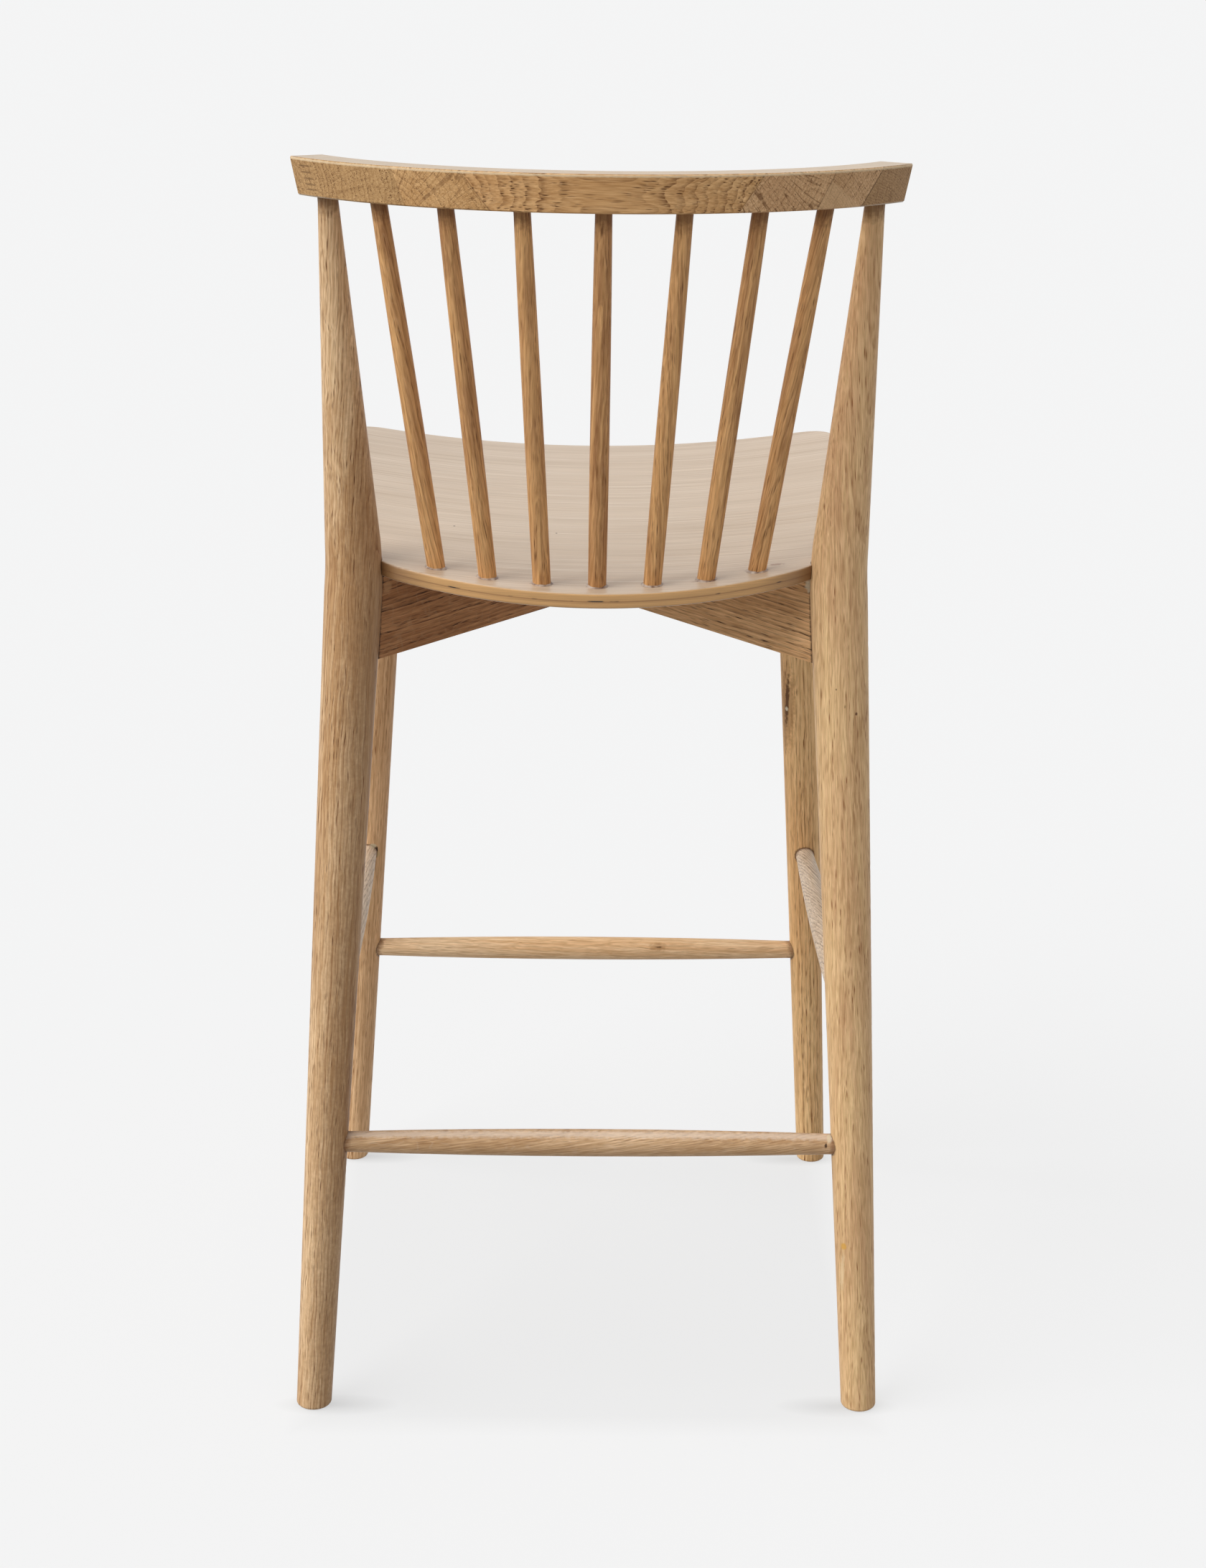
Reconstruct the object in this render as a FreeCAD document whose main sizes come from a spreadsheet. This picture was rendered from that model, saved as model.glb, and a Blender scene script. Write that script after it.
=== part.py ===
import FreeCAD, Part
import Sketcher
import math
import os

from FreeCAD import Placement, Rotation, Vector

# Counter stool in oak: two bent back legs, two front legs, four turned stretchers, crossed bearers,
# a moulded plywood seat, and a bowed crest rail on seven spindles.
# Origin on the floor, in the middle of the stool's box. The sitter faces -Y, +X is the sitter's left.

doc = FreeCAD.newDocument("counter_stool")
sheet = doc.addObject("Spreadsheet::Sheet", "sizes")

# Driving dimensions in millimetres and degrees
DIMENSIONS = {
    # Whole stool
    "overall_height": 950.0,
    "overall_depth": 529.0,
    # Feet
    "back_foot_spread": 427.0,
    "front_foot_spread": 430.0,
    "foot_depth_spacing": 431.0,
    "back_foot_diameter": 27.2,
    "front_foot_diameter": 25.6,
    "foot_edge_round": 2.5,
    # Back legs: from the foot forward and inward to the bend, then up to the rail
    "bend_height": 665.1,
    "bend_spread": 346.2,
    "bend_forward": 30.5,
    "bend_diameter": 41.5,
    "bend_length": 36.0,
    "post_top_diameter": 14.2,
    "post_reach": 210.5,
    # Front legs: straight, leaning in and back
    "front_leg_splay": 3.6,
    "front_leg_rake": 3.3,
    "front_leg_top_diameter": 35.5,
    # Crest rail: part of a ring, level, with slanted ends and scarf joints
    "rail_radius": 257.5,
    "rail_thickness": 26.0,
    "rail_height": 25.0,
    "rail_width": 428.0,
    "rail_end_slant": 10.6,
    "rail_edge_bevel": 0.9,
    "joint_left_outer": 135.0,
    "joint_left_outer_slant": 12.5,
    "joint_left_inner": 84.0,
    "joint_left_inner_slant": 21.6,
    "joint_right_inner": 96.6,
    "joint_right_inner_slant": 19.4,
    "joint_right_outer": 147.8,
    "joint_right_outer_slant": 16.8,
    "joint_right_tip": 181.3,
    "joint_right_tip_slant": 23.5,
    # Seat: moulded plywood, dished across its width, its front edge higher than its rear
    "seat_height": 658.0,
    "seat_tilt": 2.85,
    "seat_thickness": 11.0,
    "seat_depth": 436.0,
    "seat_front_width": 414.0,
    "seat_corner_radius": 28.0,
    "seat_rear_radius": 315.0,
    "seat_rear_corner_radius": 70.0,
    "seat_edge_round": 1.5,
    "dish_radius": 1160.0,
    # Spindles
    "spindle_setback": 20.0,
    "spindle_lean": 76.0,
    "spindle_pitch_seat": 39.2,
    "spindle_pitch_rail": 53.3,
    "spindle_foot_diameter": 12.9,
    "spindle_middle_diameter": 13.3,
    "spindle_top_diameter": 11.4,
    "seat_socket_depth": 8.0,
    "rail_socket_depth": 15.0,
    # Stretchers
    "front_stretcher_height": 215.5,
    "back_stretcher_height": 220.4,
    "side_stretcher_height": 313.5,
    "stretcher_end_diameter": 15.8,
    "stretcher_middle_diameter": 20.8,
    "stretcher_socket_depth": 11.0,
    # Crossed bearers under the seat, a little shallower towards the front
    "bearer_height": 53.6,
    "bearer_tilt": 3.2,
    "bearer_thickness": 24.0,
    "tenon_thickness": 12.0,
    "tenon_height": 36.0,
    "tenon_depth": 15.0,
    # Seat screws
    "screw_spacing": 105.0,
    "screw_length": 40.0,
    "screw_bite": 7.0,
    "screw_head_diameter": 9.0,
    "screw_head_height": 3.0,
    "screw_shank_diameter": 5.0,
    "screw_point": 4.0,
    # Fits
    "fit_clearance": 0.15,
    "straight_reveal": 4.0,
}
for row, (alias, value) in enumerate(DIMENSIONS.items(), start=1):
    sheet.set(f"A{row}", alias)
    sheet.set(f"B{row}", str(value))
    sheet.setAlias(f"B{row}", alias)
doc.recompute()

SPINDLES_PER_SIDE = 3
BEND_STEPS = 4
SIDES = {"left": 1, "right": -1}
UP = Vector(0, 0, 1)


def size(alias):
    """A driving dimension, as the sheet holds it."""
    return float(sheet.get(alias))


def mirrored(point, side):
    """A point given for the left half, on the side asked for."""
    return Vector(point.x * side, point.y, point.z)


def on_line(start, end, share):
    return start + (end - start) * share


# Places worked out from the driving dimensions
RAIL_REAR_Y = size("overall_depth") / 2
RAIL_CENTRE_Y = RAIL_REAR_Y - size("rail_radius")
RAIL_MID_RADIUS = size("rail_radius") - size("rail_thickness") / 2
RAIL_BOTTOM = size("overall_height") - size("rail_height")

FRONT_FOOT_Y = (size("front_foot_diameter") - size("overall_depth")) / 2
FRONT_FOOT = Vector(size("front_foot_spread") / 2, FRONT_FOOT_Y, 0)
BACK_FOOT = Vector(size("back_foot_spread") / 2, FRONT_FOOT_Y + size("foot_depth_spacing"), 0)
BEND = Vector(size("bend_spread") / 2, BACK_FOOT.y - size("bend_forward"), size("bend_height"))

SEAT_ROW_Y = RAIL_CENTRE_Y + RAIL_MID_RADIUS - size("spindle_lean")
SEAT_ROW_RADIUS = size("seat_rear_radius") - size("spindle_setback")
SEAT_LEAN = Rotation(Vector(1, 0, 0), -size("seat_tilt"))
SEAT_FRAME = Placement(Vector(0, SEAT_ROW_Y, size("seat_height")), SEAT_LEAN)


def rail_point(arc_length):
    """Middle of the rail's underside, at an arc length from the centre."""
    angle = arc_length / RAIL_MID_RADIUS
    across = RAIL_MID_RADIUS * math.sin(angle)
    back = RAIL_MID_RADIUS * math.cos(angle)
    return Vector(across, RAIL_CENTRE_Y + back, RAIL_BOTTOM)


def dished_point(across, back, below):
    """Point of the dished seat, a depth below its top, from its place in the seat's frame."""
    radius = size("dish_radius") + below
    height = size("dish_radius") - math.sqrt(radius ** 2 - across ** 2)
    return SEAT_FRAME.multVec(Vector(across, back, height))


def seat_point(arc_length):
    """Top of the seat on the spindle row, at an arc length from the centre."""
    angle = arc_length / SEAT_ROW_RADIUS
    return dished_point(SEAT_ROW_RADIUS * math.sin(angle), SEAT_ROW_RADIUS * (math.cos(angle) - 1), 0)


POST_TOP = rail_point(size("post_reach"))


def back_leg_axis(height):
    """Point on the left back leg's lower axis."""
    return on_line(BACK_FOOT, BEND, height / BEND.z)


def front_leg_axis(height):
    """Point on the left front leg's axis."""
    inward = height * math.tan(math.radians(size("front_leg_splay")))
    back = height * math.tan(math.radians(size("front_leg_rake")))
    return FRONT_FOOT + Vector(-inward, back, height)


def back_leg_radius(height):
    share = height / BEND.z
    return (size("back_foot_diameter") * (1 - share) + size("bend_diameter") * share) / 2


def front_leg_radius(height):
    share = height / size("seat_height")
    return (size("front_foot_diameter") * (1 - share) + size("front_leg_top_diameter") * share) / 2


# Building blocks
def along(start, end):
    """Placement at start, with its Z axis towards end."""
    return Placement(start, Rotation(UP, end - start))


def axes_placement(origin, x_axis, z_axis):
    """Placement from its X axis and roughly its Z axis."""
    return Placement(origin, Rotation(x_axis, Vector(), z_axis, "XZY"))


def rod(name, start, end, radius):
    """Cylinder from start to end; radius is a formula of the sheet."""
    part = doc.addObject("Part::Cylinder", name)
    part.setExpression("Radius", radius)
    part.Height = (end - start).Length
    part.Placement = along(start, end)
    return part


def block(name, frame, low, sizes):
    """Box whose low corner is a point of the frame; sizes are formulas or numbers for its X, Y and Z."""
    part = doc.addObject("Part::Box", name)
    for side, value in zip(("Length", "Width", "Height"), sizes):
        if isinstance(value, str):
            part.setExpression(side, value)
        else:
            setattr(part, side, value)
    part.Placement = frame * Placement(low, Rotation())
    return part


def lofted_bar(name, stations, side, extra):
    """Round bar through circles: each station is its centre, its axis and a formula for its radius.

    The stations are given for the left side; extra is a formula added to every radius.
    """
    rings = []
    for number, (centre, axis, radius) in enumerate(stations):
        ring = doc.addObject("Part::Circle", f"{name}_ring_{number}")
        ring.setExpression("Radius", f"{radius} + {extra}")
        ring.Placement = Placement(mirrored(centre, side), Rotation(UP, mirrored(axis, side)))
        rings.append(ring)
    bar = doc.addObject("Part::Loft", name)
    bar.Sections = rings
    bar.Solid = True
    bar.Ruled = True
    return bar


def cut(name, base, tools):
    """Base with every tool taken off it, one after another."""
    for number, tool in enumerate(tools):
        step = doc.addObject("Part::Cut", f"{name}_cut_{number}")
        step.Base = base
        step.Tool = tool
        base = step
    return base


def rounded(name, base, wanted, radius):
    """Base with the edges that the test picks rounded; radius is an alias of the sheet."""
    doc.recompute()
    fillet = doc.addObject("Part::Fillet", name)
    fillet.Base = base
    limit = size(radius)
    fillet.Edges = [(i, limit, limit) for i, edge in enumerate(base.Shape.Edges, start=1) if wanted(edge)]
    return fillet


def origin_plane(body, role):
    return next(plane for plane in body.Origin.OriginFeatures if plane.Role == role)


def new_sketch(body, name, role):
    sketch = body.newObject("Sketcher::SketchObject", name)
    sketch.AttachmentSupport = [(origin_plane(body, role), "")]
    sketch.MapMode = "FlatFace"
    return sketch


def name_constraint(sketch, constraint, name, formula=None):
    """Add a named dimension, bound to a formula of the sheet where one is given."""
    index = sketch.addConstraint(constraint)
    sketch.renameConstraint(index, name)
    if formula:
        sketch.setExpression(f"Constraints.{name}", formula)


def closed_lines(corners):
    return [Part.LineSegment(start, end) for start, end in zip(corners, corners[1:] + corners[:1])]


def closed_chain(sketch, count):
    """Join each of the sketch's first elements to the next, end to start."""
    for index in range(count):
        sketch.addConstraint(Sketcher.Constraint("Coincident", index, 2, (index + 1) % count, 1))


def turn(body, sketch, angle):
    """Turn a profile about its sketch's upright axis."""
    turning = body.newObject("PartDesign::Revolution", f"{sketch.Name}_turned")
    turning.Profile = sketch
    turning.ReferenceAxis = (sketch, ["V_Axis"])
    turning.Angle = angle
    turning.Midplane = angle < 360
    return turning


def turned_bar(name, start, end, diameters, plain_ends):
    """Bar turned to a barrel: straight at both ends and swelling between them.

    diameters are aliases for its start, middle and end; plain_ends are the lengths of the straight ends.
    """
    body = doc.addObject("PartDesign::Body", name)
    sketch = new_sketch(body, f"{name}_profile", "XZ_Plane")
    length = (end - start).Length
    first, middle, last = (size(alias) / 2 for alias in diameters)
    swell_start = Vector(first, plain_ends[0], 0)
    swell_end = Vector(last, length - plain_ends[1], 0)
    swell_middle = Vector(middle, (swell_start.y + swell_end.y) / 2, 0)
    foot, top = Vector(first, 0, 0), Vector(last, length, 0)
    swell = Part.Arc(swell_start, swell_middle, swell_end)
    swell_radius = swell.toShape().Curve.Radius
    outline = [
        Part.LineSegment(Vector(), foot),
        Part.LineSegment(foot, swell_start),
        swell,
        Part.LineSegment(swell_end, top),
        Part.LineSegment(top, Vector(0, length, 0)),
        Part.LineSegment(Vector(0, length, 0), Vector()),
    ]
    sketch.addGeometry(outline, False)
    closed_chain(sketch, len(outline))
    bottom_edge, start_side, swell_side, end_side, top_edge, axis_edge = range(len(outline))
    sketch.addConstraint(Sketcher.Constraint("Coincident", bottom_edge, 1, -1, 1))
    for edge, direction in (
        (bottom_edge, "Horizontal"),
        (start_side, "Vertical"),
        (end_side, "Vertical"),
        (top_edge, "Horizontal"),
        (axis_edge, "Vertical"),
    ):
        sketch.addConstraint(Sketcher.Constraint(direction, edge))
    for kind, edge, value, label, formula in (
        ("Distance", bottom_edge, first, "start_radius", f"sizes.{diameters[0]} / 2"),
        ("Distance", top_edge, last, "end_radius", f"sizes.{diameters[2]} / 2"),
        ("Distance", start_side, plain_ends[0], "start_plain", None),
        ("Distance", end_side, plain_ends[1], "end_plain", None),
        ("Distance", axis_edge, length, "length", None),
        ("Radius", swell_side, swell_radius, "swell_radius", None),
    ):
        name_constraint(sketch, Sketcher.Constraint(kind, edge, value), label, formula)
    turn(body, sketch, 360)
    body.Placement = along(start, end)
    return body


# Tools that shape more than one piece
def dish_rod(name, radius):
    """Rod along the seat's dish, well past its front and rear; radius is a formula of the sheet."""
    reach = 2 * size("seat_depth")
    front = SEAT_FRAME.multVec(Vector(0, -reach, size("dish_radius")))
    rear = SEAT_FRAME.multVec(Vector(0, reach, size("dish_radius")))
    return rod(name, front, rear, radius)


# Everything above the seat's underside: it shapes the tops of the bearers and of the front legs
SEAT_BED = dish_rod("seat_bed", "sizes.dish_radius + sizes.seat_thickness + sizes.fit_clearance")


def mixed(first, second, share):
    """Formula for a radius part of the way between two diameters of the sheet."""
    return f"(sizes.{first} * {1 - share:.4f} + sizes.{second} * {share:.4f}) / 2"


def back_leg_bar(name, side, extra):
    """Whole back leg from the floor into the rail; extra is a formula added to its radius."""
    lower_axis, post_axis = BEND - BACK_FOOT, POST_TOP - BEND
    bend_half = size("bend_length") / 2
    below, above = 1 - bend_half / lower_axis.Length, bend_half / post_axis.Length
    bend_start, bend_end = on_line(BACK_FOOT, BEND, below), on_line(BEND, POST_TOP, above)
    neck = on_line(BEND, POST_TOP, 1 - size("straight_reveal") / post_axis.Length)
    tip = POST_TOP + post_axis / post_axis.Length * size("rail_socket_depth")
    stations = [(BACK_FOOT, UP, mixed("back_foot_diameter", "bend_diameter", 0))]
    # The bend is a smooth curve between the two straight stretches, thickest at its start
    for step in range(BEND_STEPS + 1):
        turn = step / BEND_STEPS
        place = on_line(on_line(bend_start, BEND, turn), on_line(BEND, bend_end, turn), turn)
        axis = lower_axis.normalize() * (1 - turn) + post_axis.normalize() * turn
        stations.append((place, axis, mixed("bend_diameter", "post_top_diameter", turn * above)))
    for place in (neck, tip):
        stations.append((place, post_axis, mixed("post_top_diameter", "post_top_diameter", 0)))
    return lofted_bar(name, stations, side, extra)


def front_leg_bar(name, side, extra):
    """Front leg from the floor through the seat's height; extra is a formula added to its radius."""
    top = size("seat_height")
    spare = 2 * size("bearer_height")
    axis = front_leg_axis(top) - FRONT_FOOT
    stations = [(FRONT_FOOT, UP, mixed("front_foot_diameter", "front_leg_top_diameter", 0))]
    radius = mixed("front_foot_diameter", "front_leg_top_diameter", 1 + spare / top)
    stations.append((front_leg_axis(top + spare), axis, radius))
    return lofted_bar(name, stations, side, extra)


# Stretchers: each runs from a little short of one leg's axis to the same place in the next leg
def stretcher_ends(start_axis, end_axis, start_radius, end_radius):
    direction = (end_axis - start_axis).normalize()
    depth = size("stretcher_socket_depth")
    return start_axis + direction * (start_radius - depth), end_axis - direction * (end_radius - depth)


STRETCHERS = {}
for place, leg_axis, leg_radius in (
    ("front", front_leg_axis, front_leg_radius),
    ("back", back_leg_axis, back_leg_radius),
):
    height = size(f"{place}_stretcher_height")
    axis, radius = leg_axis(height), leg_radius(height)
    STRETCHERS[f"stretcher_{place}"] = stretcher_ends(axis, mirrored(axis, -1), radius, radius)
for place, side in SIDES.items():
    height = size("side_stretcher_height")
    STRETCHERS[f"stretcher_{place}"] = stretcher_ends(
        mirrored(front_leg_axis(height), side),
        mirrored(back_leg_axis(height), side),
        front_leg_radius(height),
        back_leg_radius(height),
    )


def make_stretchers():
    plain = size("stretcher_socket_depth") + size("straight_reveal")
    diameters = ("stretcher_end_diameter", "stretcher_middle_diameter", "stretcher_end_diameter")
    return {name: turned_bar(name, *ends, diameters, (plain, plain)) for name, ends in STRETCHERS.items()}


def stretcher_sockets(leg, names):
    """Round sockets for the ends of the stretchers named; leg marks the sockets' own names."""
    tools = []
    for name, at_start in names:
        start, end = STRETCHERS[name] if at_start else reversed(STRETCHERS[name])
        inward = (end - start).normalize()
        bottom = start - inward * size("fit_clearance")
        mouth = start + inward * (size("bend_diameter") + size("stretcher_socket_depth"))
        radius = "sizes.stretcher_end_diameter / 2 + sizes.fit_clearance"
        tools.append(rod(f"{leg}_{name}_socket", bottom, mouth, radius))
    return tools


# Bearers: each runs from a back leg to the opposite front leg, and the two are halved where they cross
def bearer_bottom(point):
    """The bearers' underside below or above a point: it rises towards the front."""
    rise = (SEAT_ROW_Y - point.y) * math.tan(math.radians(size("bearer_tilt")))
    depth = size("seat_thickness") + size("bearer_height")
    return Vector(point.x, point.y, size("seat_height") - depth + rise)


BEARER_MIDDLE = size("seat_height") - size("seat_thickness") - size("bearer_height") / 2
BEARER_BACK = back_leg_axis(BEARER_MIDDLE)
BEARER_FRONT = front_leg_axis(BEARER_MIDDLE)
CROSSING_SHARE = BEARER_BACK.x / (BEARER_BACK.x + BEARER_FRONT.x)


def bearer_line(side):
    """Ends of a bearer's underside, and the place where it crosses the other."""
    back = bearer_bottom(mirrored(BEARER_BACK, side))
    front = bearer_bottom(mirrored(BEARER_FRONT, -side))
    return back, front, on_line(back, front, CROSSING_SHARE)


def bearer_frame(side):
    """Frame on a bearer's underside at the crossing: X towards the front, Z up."""
    back, front, crossing = bearer_line(side)
    return axes_placement(crossing, front - back, UP)


def bearer_reach(side):
    """Distances from the crossing to the back and the front leg's axis."""
    back, front, crossing = bearer_line(side)
    return (crossing - back).Length, (front - crossing).Length


def tenon(name, side, at_back, gap):
    """Tenon at one end of a bearer, or with a gap its mortise."""
    to_back, to_front = bearer_reach(side)
    depth = size("tenon_depth")
    root = size("straight_reveal")
    if at_back:
        start = -to_back + back_leg_radius(BEARER_MIDDLE) - depth - gap
    else:
        start = to_front - front_leg_radius(BEARER_MIDDLE) - root - gap
    low = (size("bearer_height") - size("tenon_height")) / 2 - gap
    corner = Vector(start, -size("tenon_thickness") / 2 - gap, low)
    clear = " + 2 * sizes.fit_clearance" if gap else ""
    return block(
        name,
        bearer_frame(side),
        corner,
        (
            f"sizes.tenon_depth + sizes.straight_reveal{clear}",
            f"sizes.tenon_thickness{clear}",
            f"sizes.tenon_height{clear}",
        ),
    )


def screw_places(side):
    """Each screw's line on a bearer, square to the seat: the underside of its head and its tip."""
    places = []
    drive = SEAT_LEAN.multVec(UP)
    for offset in (-size("screw_spacing"), size("screw_spacing")):
        place = SEAT_FRAME.inverse().multVec(bearer_frame(side).multVec(Vector(offset, 0, 0)))
        tip = dished_point(place.x, place.y, size("seat_thickness")) + drive * size("screw_bite")
        places.append((tip - drive * size("screw_length"), tip))
    return places


def screw_holes(name, side):
    """Counterbores from below and clearance holes up into the seat for a bearer's screws."""
    tools = []
    for number, (head, tip) in enumerate(screw_places(side)):
        drive = (tip - head).normalize()
        below = head - drive * size("bearer_height")
        end = tip + drive * size("fit_clearance")
        wide = "sizes.screw_head_diameter / 2 + sizes.fit_clearance"
        narrow = "sizes.screw_shank_diameter / 2 + sizes.fit_clearance"
        tools.append(rod(f"{name}_counterbore_{number}", below, head, wide))
        tools.append(rod(f"{name}_shank_hole_{number}", head, end, narrow))
    return tools


def make_bearer(side_name, side):
    name = f"seat_bearer_{side_name}"
    to_back, to_front = bearer_reach(side)
    thickness, height = size("bearer_thickness"), size("bearer_height")
    gap = size("fit_clearance")
    board = block(
        f"{name}_board",
        bearer_frame(side),
        Vector(-to_back, -thickness / 2, 0),
        (to_back + to_front, "sizes.bearer_thickness", "2 * sizes.bearer_height"),
    )
    # The left bearer keeps its lower half at the crossing, the right one its upper half; the seam is level
    back, front, crossing = bearer_line(-side)
    level = axes_placement(crossing, Vector(front.x - back.x, front.y - back.y, 0), UP)
    low = (height - gap) / 2 if side > 0 else gap / 2 - height
    halving = block(
        f"{name}_halving",
        level,
        Vector(-thickness, -thickness / 2 - gap, low),
        ("2 * sizes.bearer_thickness", "sizes.bearer_thickness + 2 * sizes.fit_clearance", 1.5 * height),
    )
    back_clear = back_leg_bar(f"{name}_back_leg_clear", side, "sizes.fit_clearance")
    front_clear = front_leg_bar(f"{name}_front_leg_clear", -side, "sizes.fit_clearance")
    shaped = cut(f"{name}_shaped", board, [SEAT_BED, back_clear, front_clear, halving])
    joined = doc.addObject("Part::MultiFuse", f"{name}_joined")
    joined.Shapes = [
        shaped,
        tenon(f"{name}_back_tenon", side, True, 0),
        tenon(f"{name}_front_tenon", side, False, 0),
    ]
    return cut(name, joined, screw_holes(name, side))


# Legs
def on_floor(edge):
    return edge.BoundBox.ZMax < size("fit_clearance")


def make_back_leg(side_name, side):
    name = f"back_leg_{side_name}"
    bar = back_leg_bar(f"{name}_bar", side, "0")
    foot = rounded(f"{name}_foot", bar, on_floor, "foot_edge_round")
    sockets = stretcher_sockets(name, [("stretcher_back", side > 0), (f"stretcher_{side_name}", False)])
    mortise = tenon(f"{name}_mortise", side, True, size("fit_clearance"))
    return cut(name, foot, [*sockets, mortise])


def make_front_leg(side_name, side):
    name = f"front_leg_{side_name}"
    bar = front_leg_bar(f"{name}_bar", side, "0")
    foot = rounded(f"{name}_foot", bar, on_floor, "foot_edge_round")
    sockets = stretcher_sockets(name, [("stretcher_front", side > 0), (f"stretcher_{side_name}", True)])
    mortise = tenon(f"{name}_mortise", -side, False, size("fit_clearance"))
    return cut(name, foot, [SEAT_BED, *sockets, mortise])


# Spindles, numbered from the stool's left
def spindle_line(number):
    """Ends of a spindle inside its two sockets; number 0 is the middle one."""
    foot = seat_point(number * size("spindle_pitch_seat"))
    top = rail_point(number * size("spindle_pitch_rail"))
    direction = (top - foot).normalize()
    return foot - direction * size("seat_socket_depth"), top + direction * size("rail_socket_depth")


SPINDLE_NUMBERS = {
    f"spindle_{place}": number
    for place, number in enumerate(range(SPINDLES_PER_SIDE, -SPINDLES_PER_SIDE - 1, -1), start=1)
}


def make_spindles():
    diameters = ("spindle_foot_diameter", "spindle_middle_diameter", "spindle_top_diameter")
    reveal = size("straight_reveal")
    plain = (size("seat_socket_depth") + reveal, size("rail_socket_depth") + reveal)
    return {
        name: turned_bar(name, *spindle_line(number), diameters, plain)
        for name, number in SPINDLE_NUMBERS.items()
    }


def spindle_sockets(at_seat):
    """Sockets for the spindles in the seat or in the rail."""
    place, alias = ("seat", "spindle_foot_diameter") if at_seat else ("rail", "spindle_top_diameter")
    tools = []
    for name, number in SPINDLE_NUMBERS.items():
        start, end = spindle_line(number) if at_seat else reversed(spindle_line(number))
        inward = (end - start).normalize()
        bottom = start - inward * size("fit_clearance")
        mouth = start + inward * (size(f"{place}_socket_depth") + size(alias))
        radius = f"sizes.{alias} / 2 + sizes.fit_clearance"
        tools.append(rod(f"{name}_{place}_socket", bottom, mouth, radius))
    return tools


# Seat
def seat_outline():
    """The seat's plan as a thick plate, in the seat's tilted frame."""
    body = doc.addObject("PartDesign::Body", "seat_plan")
    sketch = new_sketch(body, "seat_outline", "XY_Plane")
    rear_radius, corner = size("seat_rear_radius"), size("seat_corner_radius")
    rear_y = size("spindle_setback")
    front_y = rear_y - size("seat_depth")
    bend = SEAT_FRAME.inverse().multVec(BEND)
    rear_corner = Vector(bend.x, rear_y - rear_radius + math.sqrt(rear_radius ** 2 - bend.x ** 2), 0)
    front_corner = Vector(size("seat_front_width") / 2, front_y, 0)
    side_way = (rear_corner - front_corner).normalize()
    front_way = Vector(-1, 0, 0)
    half_turn = side_way.getAngle(front_way) / 2
    tangent = corner / math.tan(half_turn)
    middle_way = (side_way + front_way).normalize()
    side_end = front_corner + side_way * tangent
    front_end = front_corner + front_way * tangent
    corner_middle = front_corner + middle_way * (corner / math.sin(half_turn) - corner)
    right = [mirrored(p, -1) for p in (rear_corner, side_end, corner_middle, front_end)]
    outline = [
        Part.Arc(rear_corner, Vector(0, rear_y, 0), right[0]),
        Part.LineSegment(right[0], right[1]),
        Part.Arc(right[1], right[2], right[3]),
        Part.LineSegment(right[3], front_end),
        Part.Arc(front_end, corner_middle, side_end),
        Part.LineSegment(side_end, rear_corner),
    ]
    sketch.addGeometry(outline, False)
    closed_chain(sketch, len(outline))
    rear_edge, right_side, right_corner, front_edge, left_corner, left_side = range(len(outline))
    for edge, value, label in (
        (rear_edge, rear_radius, "seat_rear_radius"),
        (right_corner, corner, "seat_corner_radius"),
        (left_corner, corner, "seat_corner_radius"),
    ):
        constraint = Sketcher.Constraint("Radius", edge, value)
        name_constraint(sketch, constraint, f"{label}_{edge}", f"sizes.{label}")
    plate = body.newObject("PartDesign::Pad", "seat_plate")
    plate.Profile = sketch
    plate.setExpression("Length", "2 * sizes.seat_rear_radius")
    plate.Midplane = True
    body.Placement = SEAT_FRAME
    return body


def make_seat():
    underside = dish_rod("seat_underside", "sizes.dish_radius + sizes.seat_thickness")
    hollow = dish_rod("seat_hollow", "sizes.dish_radius")
    blank = doc.addObject("Part::Common", "seat_blank")
    blank.Base = cut("seat_mould", underside, [hollow])
    thickness = size("seat_thickness")

    def at_rear_corner(edge):
        return edge.BoundBox.XLength < thickness and edge.CenterOfMass.y > 0

    blank.Tool = rounded("seat_plan_eased", seat_outline(), at_rear_corner, "seat_rear_corner_radius")

    def runs_round(edge):
        return edge.Length > 2 * thickness

    eased = rounded("seat_eased", blank, runs_round, "seat_edge_round")
    tools = spindle_sockets(True)
    for side_name, side in SIDES.items():
        tools.append(back_leg_bar(f"seat_notch_{side_name}", side, "2 * sizes.fit_clearance"))
        tools += screw_holes(f"seat_{side_name}", side)[1::2]
    return cut("seat_panel", eased, tools)


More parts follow.
